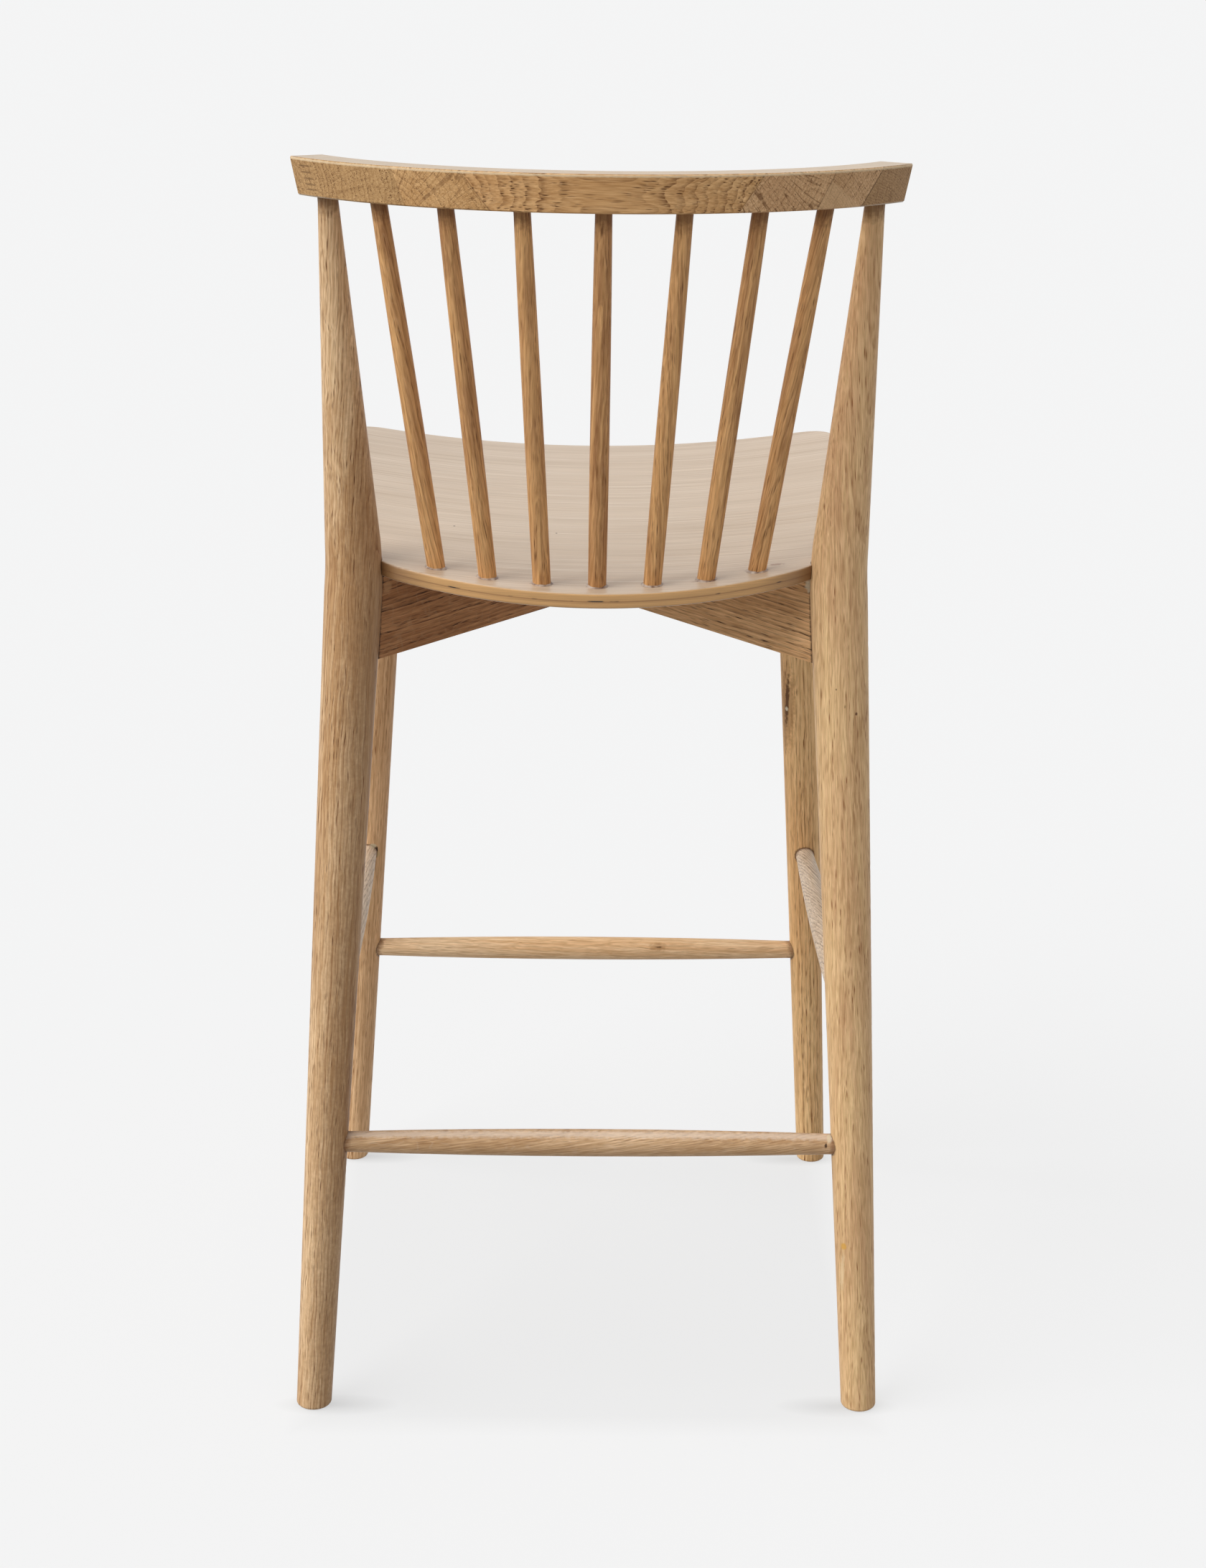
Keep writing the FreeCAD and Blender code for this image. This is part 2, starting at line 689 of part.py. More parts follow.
# Crest rail
def rail_ring():
    """The rail's ring before its ends are cut, with its long edges bevelled."""
    body = doc.addObject("PartDesign::Body", "rail_ring")
    sketch = new_sketch(body, "rail_section", "XZ_Plane")
    inner, outer = size("rail_radius") - size("rail_thickness"), size("rail_radius")
    low, high = RAIL_BOTTOM, size("overall_height")
    corners = [Vector(x, y, 0) for x, y in ((inner, low), (outer, low), (outer, high), (inner, high))]
    sketch.addGeometry(closed_lines(corners), False)
    closed_chain(sketch, len(corners))
    for edge, direction in enumerate(("Horizontal", "Vertical", "Horizontal", "Vertical")):
        sketch.addConstraint(Sketcher.Constraint(direction, edge))
    for constraint, label in (
        (Sketcher.Constraint("Distance", 0, outer - inner), "rail_thickness"),
        (Sketcher.Constraint("Distance", 1, high - low), "rail_height"),
        (Sketcher.Constraint("DistanceX", -1, 1, 1, 2, outer), "rail_radius"),
        (Sketcher.Constraint("DistanceY", -1, 1, 1, 2, high), "overall_height"),
    ):
        name_constraint(sketch, constraint, label, f"sizes.{label}")
    ring = turn(body, sketch, 180)
    doc.recompute()
    eased = body.newObject("PartDesign::Chamfer", "rail_eased")
    long_edge = size("rail_radius")
    names = [f"Edge{i}" for i, edge in enumerate(ring.Shape.Edges, start=1) if edge.Length > long_edge]
    eased.Base = (ring, names)
    eased.setExpression("Size", "sizes.rail_edge_bevel")
    body.Placement = Placement(Vector(0, RAIL_CENTRE_Y, 0), Rotation(UP, 90))
    return body


def rail_limit(name, across, slant, outside):
    """Block that takes off the rail outside or inside a slanted plane.

    across is the plane's X on the rail's rear face at half height; a positive slant is wider at the top.
    """
    side = 1 if across > 0 else -1
    angle = math.asin(across / size("rail_radius"))
    radial = Vector(math.sin(angle), math.cos(angle), 0)
    place = Vector(0, RAIL_CENTRE_Y, RAIL_BOTTOM + size("rail_height") / 2) + radial * size("rail_radius")
    outward = Vector(math.cos(angle), -math.sin(angle), 0) * side
    lean = math.degrees(math.atan2(slant, size("rail_height")))
    frame = axes_placement(place, outward, UP) * Placement(Vector(), Rotation(Vector(0, 1, 0), lean))
    reach = 2 * size("rail_width")
    corner = Vector(0 if outside else -reach, -reach, -reach)
    return block(name, frame, corner, (reach, 2 * reach, 2 * reach))


def make_rail():
    half = (size("rail_width") - size("rail_end_slant")) / 2
    post_sockets = []
    for side_name, side in SIDES.items():
        axis = mirrored(POST_TOP - BEND, side).normalize()
        mouth = mirrored(POST_TOP, side) - axis * size("post_top_diameter")
        bottom = mirrored(POST_TOP, side) + axis * (size("rail_socket_depth") + size("fit_clearance"))
        radius = "sizes.post_top_diameter / 2 + sizes.fit_clearance"
        post_sockets.append(rod(f"post_socket_{side_name}", mouth, bottom, radius))
    bored = cut("rail_bored", rail_ring(), spindle_sockets(False) + post_sockets)
    # From the stool's left to its right: each joint and its side, then the blocks between them
    joints = [
        ("joint_left_outer", 1),
        ("joint_left_inner", 1),
        ("joint_right_inner", -1),
        ("joint_right_outer", -1),
        ("joint_right_tip", -1),
    ]
    names = ("left_end", "left_inner", "centre", "right_inner", "right_outer", "right_end")
    planes = [(side * size(joint), size(f"{joint}_slant")) for joint, side in joints]
    planes = [(half, size("rail_end_slant")), *planes, (-half, size("rail_end_slant"))]
    blocks = {}
    for place, left_plane, right_plane in zip(names, planes[:-1], planes[1:]):
        name = f"rail_block_{place}"
        tools = [
            rail_limit(f"{name}_left_limit", *left_plane, left_plane[0] > 0),
            rail_limit(f"{name}_right_limit", *right_plane, right_plane[0] < 0),
        ]
        blocks[name] = cut(name, bored, tools)
    return blocks


# Screws
def screw(name, start, tip):
    """Wood screw with a flat head, a shank and a point; start is the underside of its head."""
    head, shank = size("screw_head_diameter") / 2, size("screw_shank_diameter") / 2
    top, length, point = size("screw_head_height"), size("screw_length"), size("screw_point")
    corners = [(0, -top), (head, -top), (head, 0), (shank, 0), (shank, length - point), (0, length)]
    points = [Vector(radius, height, 0) for radius, height in corners]
    body = doc.addObject("PartDesign::Body", name)
    sketch = new_sketch(body, f"{name}_profile", "XZ_Plane")
    sketch.addGeometry(closed_lines(points), False)
    closed_chain(sketch, len(points))
    head_end, head_rim, head_seat, shank_side, point_side, axis_edge = range(len(points))
    for edge, direction in (
        (head_end, "Horizontal"),
        (head_rim, "Vertical"),
        (head_seat, "Horizontal"),
        (shank_side, "Vertical"),
        (axis_edge, "Vertical"),
    ):
        sketch.addConstraint(Sketcher.Constraint(direction, edge))
    sketch.addConstraint(Sketcher.Constraint("PointOnObject", point_side, 2, -2))
    for edge, value, label, formula in (
        (head_end, head, "head_radius", "sizes.screw_head_diameter / 2"),
        (head_rim, top, "head_height", "sizes.screw_head_height"),
        (shank_side, length - point, "shank_length", "sizes.screw_length - sizes.screw_point"),
        (axis_edge, length + top, "whole_length", "sizes.screw_length + sizes.screw_head_height"),
    ):
        name_constraint(sketch, Sketcher.Constraint("Distance", edge, value), label, formula)
    shank_radius = Sketcher.Constraint("DistanceX", -1, 1, shank_side, 1, shank)
    name_constraint(sketch, shank_radius, "shank_radius", "sizes.screw_shank_diameter / 2")
    turn(body, sketch, 360)
    body.Placement = along(start, tip)
    return body


def make_screws():
    screws = []
    for side_name, side in SIDES.items():
        for number, (start, tip) in enumerate(screw_places(side)):
            screws.append(screw(f"screw_{side_name}_{number}", start, tip))
    group = doc.addObject("Part::Compound", "seat_screws")
    group.Links = screws
    return group


# Assembly: every node's name and its object
nodes = {"seat_panel": make_seat(), "seat_screws": make_screws(), **make_rail()}
nodes.update(make_stretchers())
nodes.update(make_spindles())
for side_name, side in SIDES.items():
    nodes[f"back_leg_{side_name}"] = make_back_leg(side_name, side)
    nodes[f"front_leg_{side_name}"] = make_front_leg(side_name, side)
    nodes[f"seat_bearer_{side_name}"] = make_bearer(side_name, side)
doc.recompute()

for item in doc.Objects:
    if "Invalid" in item.State or "Error" in item.State:
        raise RuntimeError(f"{item.Name} failed: {item.State}")
for name, item in nodes.items():
    item.Label = name
    if item.Shape.isNull() or not item.Shape.isValid():
        raise RuntimeError(f"{name} has no valid shape")

os.makedirs("parts", exist_ok=True)
for name, item in nodes.items():
    item.Shape.exportStep(f"parts/{name}.step")
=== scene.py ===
import math

import bmesh
import bpy
from mathutils import Matrix, Vector


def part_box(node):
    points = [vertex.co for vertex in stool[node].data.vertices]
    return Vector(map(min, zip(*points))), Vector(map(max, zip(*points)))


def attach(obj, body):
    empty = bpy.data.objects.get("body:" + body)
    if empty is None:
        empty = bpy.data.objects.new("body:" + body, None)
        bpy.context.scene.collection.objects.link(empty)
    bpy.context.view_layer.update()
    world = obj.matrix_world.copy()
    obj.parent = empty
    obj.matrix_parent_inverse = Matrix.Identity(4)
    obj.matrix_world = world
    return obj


# Oak counter stool seen from behind: solid oak grain for every stick, pale veneer for the seat

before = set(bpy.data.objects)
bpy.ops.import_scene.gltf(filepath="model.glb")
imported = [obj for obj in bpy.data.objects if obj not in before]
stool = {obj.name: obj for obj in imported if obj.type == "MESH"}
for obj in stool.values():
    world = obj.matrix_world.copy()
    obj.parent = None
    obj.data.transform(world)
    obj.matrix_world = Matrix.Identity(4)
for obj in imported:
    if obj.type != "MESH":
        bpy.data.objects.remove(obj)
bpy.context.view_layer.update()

# Places on the stool, in metres: the sitter's left is +X, the back is +Y
RAIL_CENTRE_Y = 0.007
RAIL_RADIUS = 0.2575
RAIL_MIDDLE_Z = 0.9375
RAIL_HEIGHT = 0.025
RAIL_BOTTOM_Z = 0.925
# Each joint's place across the rail's rear face, and how far it leans over the rail's height
RAIL_JOINTS = {
    "left_outer": (0.135, 0.0125),
    "left_inner": (0.084, 0.0216),
    "right_inner": (-0.0966, 0.0194),
    "right_outer": (-0.1478, 0.0168),
    "right_tip": (-0.1813, 0.0235),
}
BACK_FOOT = Vector((0.2135, 0.1793, 0.0))
BACK_BEND = Vector((0.1731, 0.1488, 0.6651))
FRONT_FOOT = Vector((0.215, -0.2517, 0.0))
FRONT_LEG_SPLAY = math.radians(3.6)
FRONT_LEG_RAKE = math.radians(3.3)
SEAT_PLACE = Vector((0.0, 0.1755, 0.658))
SEAT_TURN = Matrix.Rotation(math.radians(-2.85), 3, "X")
DISH_RADIUS = 1.16
SPINDLES = [f"spindle_{number}" for number in range(1, 8)]
SPINDLE_RADIUS = 0.0065
STRETCHER_END_RADIUS = 0.0079
BACK_FOOT_RADIUS, BACK_BEND_RADIUS = 0.0136, 0.0208
FRONT_FOOT_RADIUS, FRONT_TOP_RADIUS = 0.0128, 0.0178
FRONT_LEG_HEIGHT = 0.65
SEAT_THICKNESS_MM = 11.0
MILLIMETRES = (1000.0, 1000.0, 1000.0)
UP = Vector((0, 0, 1))
# Where each kind of piece starts in the grain, so that no two pieces look alike
GRAIN_SEEDS = {"legs": 1, "spindles": 5, "stretchers": 13, "bearers": 18, "rail": 21}


def shade(red, green, blue):
    """A colour given as it looks, 0 to 255, in the light values that Blender works in."""
    return tuple(((c / 255 + 0.055) / 1.055) ** 2.4 for c in (red, green, blue)) + (1.0,)


# Node helpers: each adds a node to a tree and gives back one of its outputs


def put(tree, kind, values=(), out=0, **settings):
    """One node; values are sockets to join or numbers to set, by the order or the names of its inputs."""
    node = tree.nodes.new(kind)
    for key, value in settings.items():
        setattr(node, key, value)
    pairs = values.items() if isinstance(values, dict) else enumerate(values)
    for key, value in pairs:
        if isinstance(value, bpy.types.NodeSocket):
            tree.links.new(value, node.inputs[key])
        else:
            node.inputs[key].default_value = value
    return node.outputs[out]


def finish_with(tree, surface, kind="ShaderNodeOutputMaterial"):
    tree.links.new(surface, tree.nodes.new(kind).inputs["Surface"])


def sums(tree, operation, *values):
    return put(tree, "ShaderNodeMath", values, operation=operation)


def span(tree, value, low, high, to_low=0.0, to_high=1.0):
    """A value carried from one range to another and held at its ends."""
    return put(tree, "ShaderNodeMapRange", (value, low, high, to_low, to_high))


def vectors(tree, operation, *values, out=0):
    return put(tree, "ShaderNodeVectorMath", values, out=out, operation=operation)


def cloud(tree, vector, cell, detail=2.0, roughness=0.5, out=0):
    """Soft noise whose cells have the given size along each axis."""
    sized = vectors(tree, "DIVIDE", vector, cell)
    values = {"Vector": sized, "Scale": 1.0, "Detail": detail, "Roughness": roughness}
    return put(tree, "ShaderNodeTexNoise", values, out=out)


def blend(tree, factor, first, second, how="MIX"):
    values = {0: factor, 6: first, 7: second}
    return put(tree, "ShaderNodeMix", values, out=2, data_type="RGBA", blend_type=how)


def tinted(tree, colour, *lights):
    """A colour made lighter or darker by one value, or by one each for red, green and blue."""
    lights = lights * 3 if len(lights) == 1 else lights
    return blend(tree, 1.0, colour, put(tree, "ShaderNodeCombineColor", lights), "MULTIPLY")


def apart(tree, vector):
    """The X, Y and Z of a vector."""
    node = tree.nodes.new("ShaderNodeSeparateXYZ")
    tree.links.new(vector, node.inputs[0])
    return tuple(node.outputs)


def steps(tree, value, stops):
    """A ramp given as (place, grey) stops."""
    node = tree.nodes.new("ShaderNodeValToRGB")
    elements = node.color_ramp.elements
    while len(elements) < len(stops):
        elements.new(0.5)
    for element, (place, grey) in zip(elements, stops):
        element.position = place
        element.color = (grey, grey, grey, 1.0)
    tree.links.new(value, node.inputs[0])
    return node.outputs[0]


def new_group(name, inputs, outputs):
    """An empty shader node group with named sockets, and the values it is given."""
    tree = bpy.data.node_groups.new(name, "ShaderNodeTree")
    for label, kind in inputs.items():
        tree.interface.new_socket(name=label, in_out="INPUT", socket_type="NodeSocket" + kind)
    for label, kind in outputs.items():
        tree.interface.new_socket(name=label, in_out="OUTPUT", socket_type="NodeSocket" + kind)
    return tree, tree.nodes.new("NodeGroupInput").outputs


def close_group(tree, results):
    end = tree.nodes.new("NodeGroupOutput")
    for label, socket in results.items():
        tree.links.new(socket, end.inputs[label])
    return tree


# Shared effects

# How far fibres darken and lighten red, green and blue: dark fibres are warmer than pale ones
FIBRE_LIGHT = ((0.74, 1.18), (0.69, 1.23), (0.62, 1.30))
# Grey of a growth ring across its width: a sharp start of open early wood, fading into dense late wood
RING_STEPS = [(0, 0), (0.06, 1), (0.26, 0.7), (0.5, 0.2), (1, 0)]


def solid_oak_group():
    """Oak all through: rings round a pith on the local Z axis, with pores, fibres and rays along it."""
    inputs = {"Vector": "Vector"}
    for label in ("Ring Width", "Rings", "Pores", "Rays", "Ray Count", "Waver"):
        inputs[label] = "Float"
    for label in ("Pale", "Tan", "Dark", "Pore", "Ray"):
        inputs[label] = "Color"
    outputs = {"Color": "Color", "Roughness": "Float", "Height": "Float"}
    tree, given = new_group("solid_oak", inputs, outputs)
    point = vectors(tree, "MULTIPLY", given["Vector"], MILLIMETRES)
    # The grain drifts a few millimetres along the stick and wavers more finely
    drift = vectors(tree, "SUBTRACT", cloud(tree, point, (45, 45, 260), out=1), (0.5, 0.5, 0.5))
    waver = vectors(tree, "SUBTRACT", cloud(tree, point, (9, 9, 22), 1.0, out=1), (0.5, 0.5, 0.5))
    reach = put(tree, "ShaderNodeCombineXYZ", (given["Waver"], given["Waver"], 0.0))
    point = vectors(tree, "ADD", point, vectors(tree, "MULTIPLY", drift, (8.0, 8.0, 0.0)))
    point = vectors(tree, "ADD", point, vectors(tree, "MULTIPLY", waver, reach))
    across_x, across_y, lengthways = apart(tree, point)
    radius = vectors(tree, "LENGTH", vectors(tree, "MULTIPLY", point, (1.0, 1.0, 0.0)), out=1)
    # Rings: some are stronger than others
    ripple = cloud(tree, point, (5, 5, 70), 1.0)
    ring = sums(tree, "ADD", sums(tree, "DIVIDE", radius, given["Ring Width"]), ripple)
    band = steps(tree, sums(tree, "FRACT", ring), RING_STEPS)
    count = {"W": sums(tree, "FLOOR", ring)}
    strength = put(tree, "ShaderNodeTexWhiteNoise", count, noise_dimensions="1D")
    band = sums(tree, "MULTIPLY", band, span(tree, strength, 0, 1, 0.3, 1.0))
    broken = span(tree, cloud(tree, point, (1.0, 1.0, 15), 2.0), 0.36, 0.6, 0.2, 1.0)
    # Pores: short dark dashes along the grain, thick in the early wood
    cells = vectors(tree, "DIVIDE", point, (1.3, 1.3, 15.0))
    values = {"Vector": cells, "Scale": 1.0, "Randomness": 1.0}
    distance = put(tree, "ShaderNodeTexVoronoi", values, out="Distance")
    dash = span(tree, distance, 0.14, 0.36, 1.0, 0.0)
    crowd = span(tree, band, 0.0, 0.5, 0.4, 1.0)
    gap = span(tree, cloud(tree, point, (4, 4, 40), 1.0), 0.40, 0.56)
    pores = sums(tree, "MULTIPLY", sums(tree, "MULTIPLY", dash, crowd), gap)
    pores = sums(tree, "MULTIPLY", pores, given["Pores"])
    # Rays: thin sheets that stand out from the pith, silvery where a face runs along them
    turn = sums(tree, "ARCTAN2", across_y, across_x)
    sheet = put(
        tree,
        "ShaderNodeCombineXYZ",
        (
            sums(tree, "MULTIPLY", turn, given["Ray Count"]),
            sums(tree, "DIVIDE", radius, 70.0),
            sums(tree, "DIVIDE", lengthways, 11.0),
        ),
    )
    edge = sums(tree, "ABSOLUTE", sums(tree, "SUBTRACT", cloud(tree, sheet, (1, 1, 1), 0.0), 0.5))
    thin = span(tree, edge, 0.012, 0.046, 1.0, 0.0)
    rays = sums(tree, "MULTIPLY", thin, span(tree, gap, 0.0, 1.0, 0.35, 1.0))
    rays = sums(tree, "MULTIPLY", rays, given["Rays"])
    # Colour: broad tones and streaks, then rings, fibres, pores and rays
    streak = cloud(tree, point, (2.6, 2.6, 130), 3.0, 0.6)
    broad = cloud(tree, point, (40, 40, 160), 1.0)
    fibre = cloud(tree, point, (0.9, 0.9, 17), 2.0)
    broad = span(tree, broad, 0.3, 0.7, -0.4, 0.4)
    tone = sums(tree, "ADD", span(tree, streak, 0.3, 0.7), broad)
    colour = blend(tree, tone, given["Pale"], given["Tan"])
    lines = sums(tree, "MULTIPLY", sums(tree, "MULTIPLY", band, broken), given["Rings"])
    colour = blend(tree, lines, colour, given["Dark"])
    light = [span(tree, fibre, 0.25, 0.75, low, high) for low, high in FIBRE_LIGHT]
    colour = tinted(tree, colour, *light)
    colour = blend(tree, pores, colour, given["Pore"])
    colour = blend(tree, rays, colour, given["Ray"])
    rough = span(tree, fibre, 0.2, 0.8, 0.36, 0.48)
    rough = sums(tree, "ADD", rough, sums(tree, "MULTIPLY", pores, 0.2))
    height = sums(tree, "SUBTRACT", sums(tree, "MULTIPLY", fibre, 0.35), pores)
    height = sums(tree, "SUBTRACT", height, sums(tree, "MULTIPLY", band, 0.2))
    return close_group(tree, {"Color": colour, "Roughness": rough, "Height": height})


def ragged(tree, vector, value, amount):
    """A distance made uneven, as stains and glue are."""
    noise = span(tree, cloud(tree, vector, (0.003, 0.003, 0.003), 2.0), 0.2, 0.8, -1.0, 1.0)
    return sums(tree, "ADD", value, sums(tree, "MULTIPLY", noise, amount))


def near_point_group():
    """A ragged spot round a place."""
    inputs = {"Vector": "Vector", "Centre": "Vector", "Size": "Vector"}
    tree, given = new_group("spot_mark", inputs, {"Mask": "Float"})
    away = vectors(tree, "SUBTRACT", given["Vector"], given["Centre"])
    distance = vectors(tree, "LENGTH", vectors(tree, "DIVIDE", away, given["Size"]), out=1)
    distance = ragged(tree, given["Vector"], distance, 0.35)
    return close_group(tree, {"Mask": span(tree, distance, 0.55, 1.0, 1.0, 0.0)})


def near_plane_group():
    """A thin line where a surface meets a plane, such as a glue line."""
    inputs = {"Vector": "Vector", "Place": "Vector", "Normal": "Vector", "Width": "Float"}
    tree, given = new_group("seam_mark", inputs, {"Mask": "Float"})
    away = vectors(tree, "SUBTRACT", given["Vector"], given["Place"])
    distance = sums(tree, "ABSOLUTE", vectors(tree, "DOT_PRODUCT", away, given["Normal"], out=1))
    share = ragged(tree, given["Vector"], sums(tree, "DIVIDE", distance, given["Width"]), 0.3)
    return close_group(tree, {"Mask": span(tree, share, 0.3, 1.0, 1.0, 0.0)})


def below_plane_group():
    """Everything on the near side of a plane, with a slightly uneven edge."""
    inputs = {"Vector": "Vector", "Place": "Vector", "Normal": "Vector"}
    tree, given = new_group("below_mark", inputs, {"Mask": "Float"})
    away = vectors(tree, "SUBTRACT", given["Vector"], given["Place"])
    distance = vectors(tree, "DOT_PRODUCT", away, given["Normal"], out=1)
    distance = ragged(tree, given["Vector"], distance, 0.0004)
    return close_group(tree, {"Mask": span(tree, distance, -0.0004, 0.0004, 1.0, 0.0)})


def near_stick_group():
    """A ragged collar where a surface comes up to a round stick, on the side its line points to."""
    inputs = {"Vector": "Vector", "Place": "Vector", "Along": "Vector"}
    inputs.update({"Radius": "Float", "Width": "Float"})
    tree, given = new_group("collar_mark", inputs, {"Mask": "Float"})
    away = vectors(tree, "SUBTRACT", given["Vector"], given["Place"])
    distance = vectors(tree, "LENGTH", vectors(tree, "CROSS_PRODUCT", away, given["Along"]), out=1)
    distance = sums(tree, "SUBTRACT", distance, given["Radius"])
    share = ragged(tree, given["Vector"], sums(tree, "DIVIDE", distance, given["Width"]), 0.45)
    ahead = span(tree, vectors(tree, "DOT_PRODUCT", away, given["Along"], out=1), 0.0, 0.002)
    ring = span(tree, share, 0.2, 1.0, 1.0, 0.0)
    return close_group(tree, {"Mask": sums(tree, "MULTIPLY", ring, ahead)})


SOLID_OAK = solid_oak_group()
MARKS = {
    "spot": near_point_group(),
    "seam": near_plane_group(),
    "below": below_plane_group(),
    "collar": near_stick_group(),
}


def marked(tree, place, colour, marks):
    """Lays stains, glue and seams over a colour: each is a kind, a colour, a strength and its values."""
    for kind, mark_colour, strength, values in marks:
        values = {"Vector": place, **values}
        mask = put(tree, "ShaderNodeGroup", values, node_tree=MARKS[kind])
        colour = blend(tree, sums(tree, "MULTIPLY", mask, strength), colour, mark_colour)
    return colour


def new_finish(name):
    material = bpy.data.materials.new(name)
    material.use_nodes = True
    material.node_tree.nodes.clear()
    return material, material.node_tree


def close_finish(tree, colour, rough, height, bump, depth, specular=0.1):
    normal = put(tree, "ShaderNodeBump", {"Strength": bump, "Distance": depth, "Height": height})
    values = {"Base Color": colour, "Roughness": rough, "Normal": normal, "Specular IOR Level": specular}
    finish_with(tree, put(tree, "ShaderNodeBsdfPrincipled", values))


def painted_grazing_sheen(tree, colour, sheen):
    """Pales a colour where the face is seen at a shallow angle: a painted sheen, standing in for a
    lacquer's reflection.
    """
    facing = put(tree, "ShaderNodeLayerWeight", {"Blend": 0.5}, out="Facing")
    share = sums(tree, "MULTIPLY", span(tree, facing, 0.56, 0.70), sheen)
    return blend(tree, share, colour, shade(206, 190, 170))


def dress(piece, material):
    """Gives a piece its finish through its material slot."""
    if not piece.material_slots:
        piece.data.materials.append(material)
    piece.material_slots[0].material = material


# Oak tones: colours from the pale wood to the open pores, ring width in millimetres, then the strengths

LEG_OAK = {
    "Pale": shade(238, 202, 158),
    "Tan": shade(197, 154, 109),
    "Dark": shade(130, 84, 48),
    "Pore": shade(100, 62, 34),
    "Ray": shade(226, 198, 160),
    "Ring Width": 2.4,
    "Rings": 1.0,
    "Pores": 1.1,
    "Rays": 0.08,
    "Ray Count": 80.0,
    "Waver": 2.6,
}
COARSE_OAK = {
    **LEG_OAK,
    "Pale": shade(240, 202, 150),
    "Tan": shade(218, 174, 129),
    "Dark": shade(158, 104, 60),
    "Pore": shade(140, 88, 50),
    "Ring Width": 3.2,
    "Rings": 0.6,
    "Pores": 1.1,
    "Waver": 1.2,
}
FRONT_OAK = {
    **COARSE_OAK,
    "Pale": shade(244, 200, 152),
    "Tan": shade(208, 162, 116),
    "Rings": 0.75,
}
BRIGHT_OAK = {
    **FRONT_OAK,
    "Pale": shade(255, 212, 154),
    "Tan": shade(230, 180, 124),
    "Dark": shade(136, 84, 44),
    "Pore": shade(128, 78, 42),
    "Rings": 0.9,
}
SPINDLE_OAK = {
    **LEG_OAK,
    "Pale": shade(234, 181, 122),
    "Tan": shade(186, 135, 90),
    "Dark": shade(118, 70, 36),
    "Pore": shade(92, 56, 30),
    "Ring Width": 2.4,
    "Rings": 0.65,
    "Pores": 0.8,
    "Waver": 1.4,
}
STRETCHER_OAK = {
    **LEG_OAK,
    "Pale": shade(252, 218, 176),
    "Tan": shade(234, 190, 142),
    "Dark": shade(176, 126, 80),
    "Ring Width": 3.0,
    "Rings": 0.45,
    "Pores": 0.35,
    "Waver": 3.0,
}
SLANTED_OAK = {
    **STRETCHER_OAK,
    "Pale": shade(228, 192, 152),
    "Tan": shade(198, 158, 116),
    "Dark": shade(140, 100, 66),
    "Ray": shade(228, 210, 192),
    "Rays": 0.12,
    "Ring Width": 1.7,
    "Rings": 0.8,
    "Waver": 1.4,
}
SIDE_OAK = {
    **STRETCHER_OAK,
    "Pale": shade(242, 220, 194),
    "Tan": shade(222, 196, 168),
    "Dark": shade(132, 98, 72),
    "Ring Width": 2.2,
    "Rings": 0.9,
    "Pores": 0.5,
    "Waver": 0.3,
}
RAIL_OAK = {
    **LEG_OAK,
    "Pale": shade(228, 182, 128),
    "Tan": shade(202, 154, 102),
    "Dark": shade(112, 70, 38),
    "Pore": shade(92, 58, 32),
    "Ring Width": 1.8,
    "Rings": 1.05,
    "Pores": 1.5,
    "Waver": 1.2,
}
END_GRAIN = {
    **RAIL_OAK,
    "Pale": shade(216, 173, 121),
    "Tan": shade(196, 151, 100),
    "Dark": shade(110, 72, 40),
    "Ray": shade(112, 74, 42),
    "Ring Width": 3.6,
    "Rings": 0.7,
    "Rays": 0.55,
    "Pores": 1.0,
    "Ray Count": 22.0,
    "Waver": 0.4,
}
SHADED_END = {
    **END_GRAIN,
    "Pale": shade(229, 187, 141),
    "Tan": shade(209, 165, 121),
    "Ring Width": 2.8,
    "Rays": 0.75,
}
PALE_END = {
    **END_GRAIN,
    "Pale": shade(224, 182, 138),
    "Tan": shade(204, 162, 118),
    "Ring Width": 1.8,
    "Ray Count": 34.0,
}
DULL_END = {
    **PALE_END,
    "Pale": shade(197, 158, 116),
    "Tan": shade(177, 140, 100),
    "Rays": 0.4,
}
SPECKLED_END = {
    **END_GRAIN,
    "Pale": shade(197, 158, 110),
    "Tan": shade(179, 140, 94),
    "Rays": 0.25,
    "Pores": 1.8,
}
# The bearers' tones hold painted light: the left bearer's darker oak is deepened by painted shade from
# the seat, and the right bearer's copy is painted lighter where the lamp falls on it
PAINTED_SHADE_BEARER_OAK = {
    **LEG_OAK,
    "Pale": shade(206, 152, 106),
    "Tan": shade(168, 116, 76),
    "Dark": shade(80, 50, 32),
    "Pore": shade(56, 36, 24),
    "Ring Width": 3.4,
    "Rings": 1.1,
    "Pores": 1.2,
    "Waver": 1.2,
}
# Painted light: the right bearer's lit copy of the tone
PAINTED_LIT_BEARER = {
    **PAINTED_SHADE_BEARER_OAK,
    "Pale": shade(252, 204, 150),
    "Tan": shade(216, 166, 116),
    "Dark": shade(98, 66, 44),
}
GLUE_BROWN = shade(96, 68, 50)
GLUE_PALE = shade(226, 210, 180)
SEAM_BROWN = shade(92, 64, 40)
# How far along the grain one piece starts from the next, in metres
SEED_STRIDE = 1.37


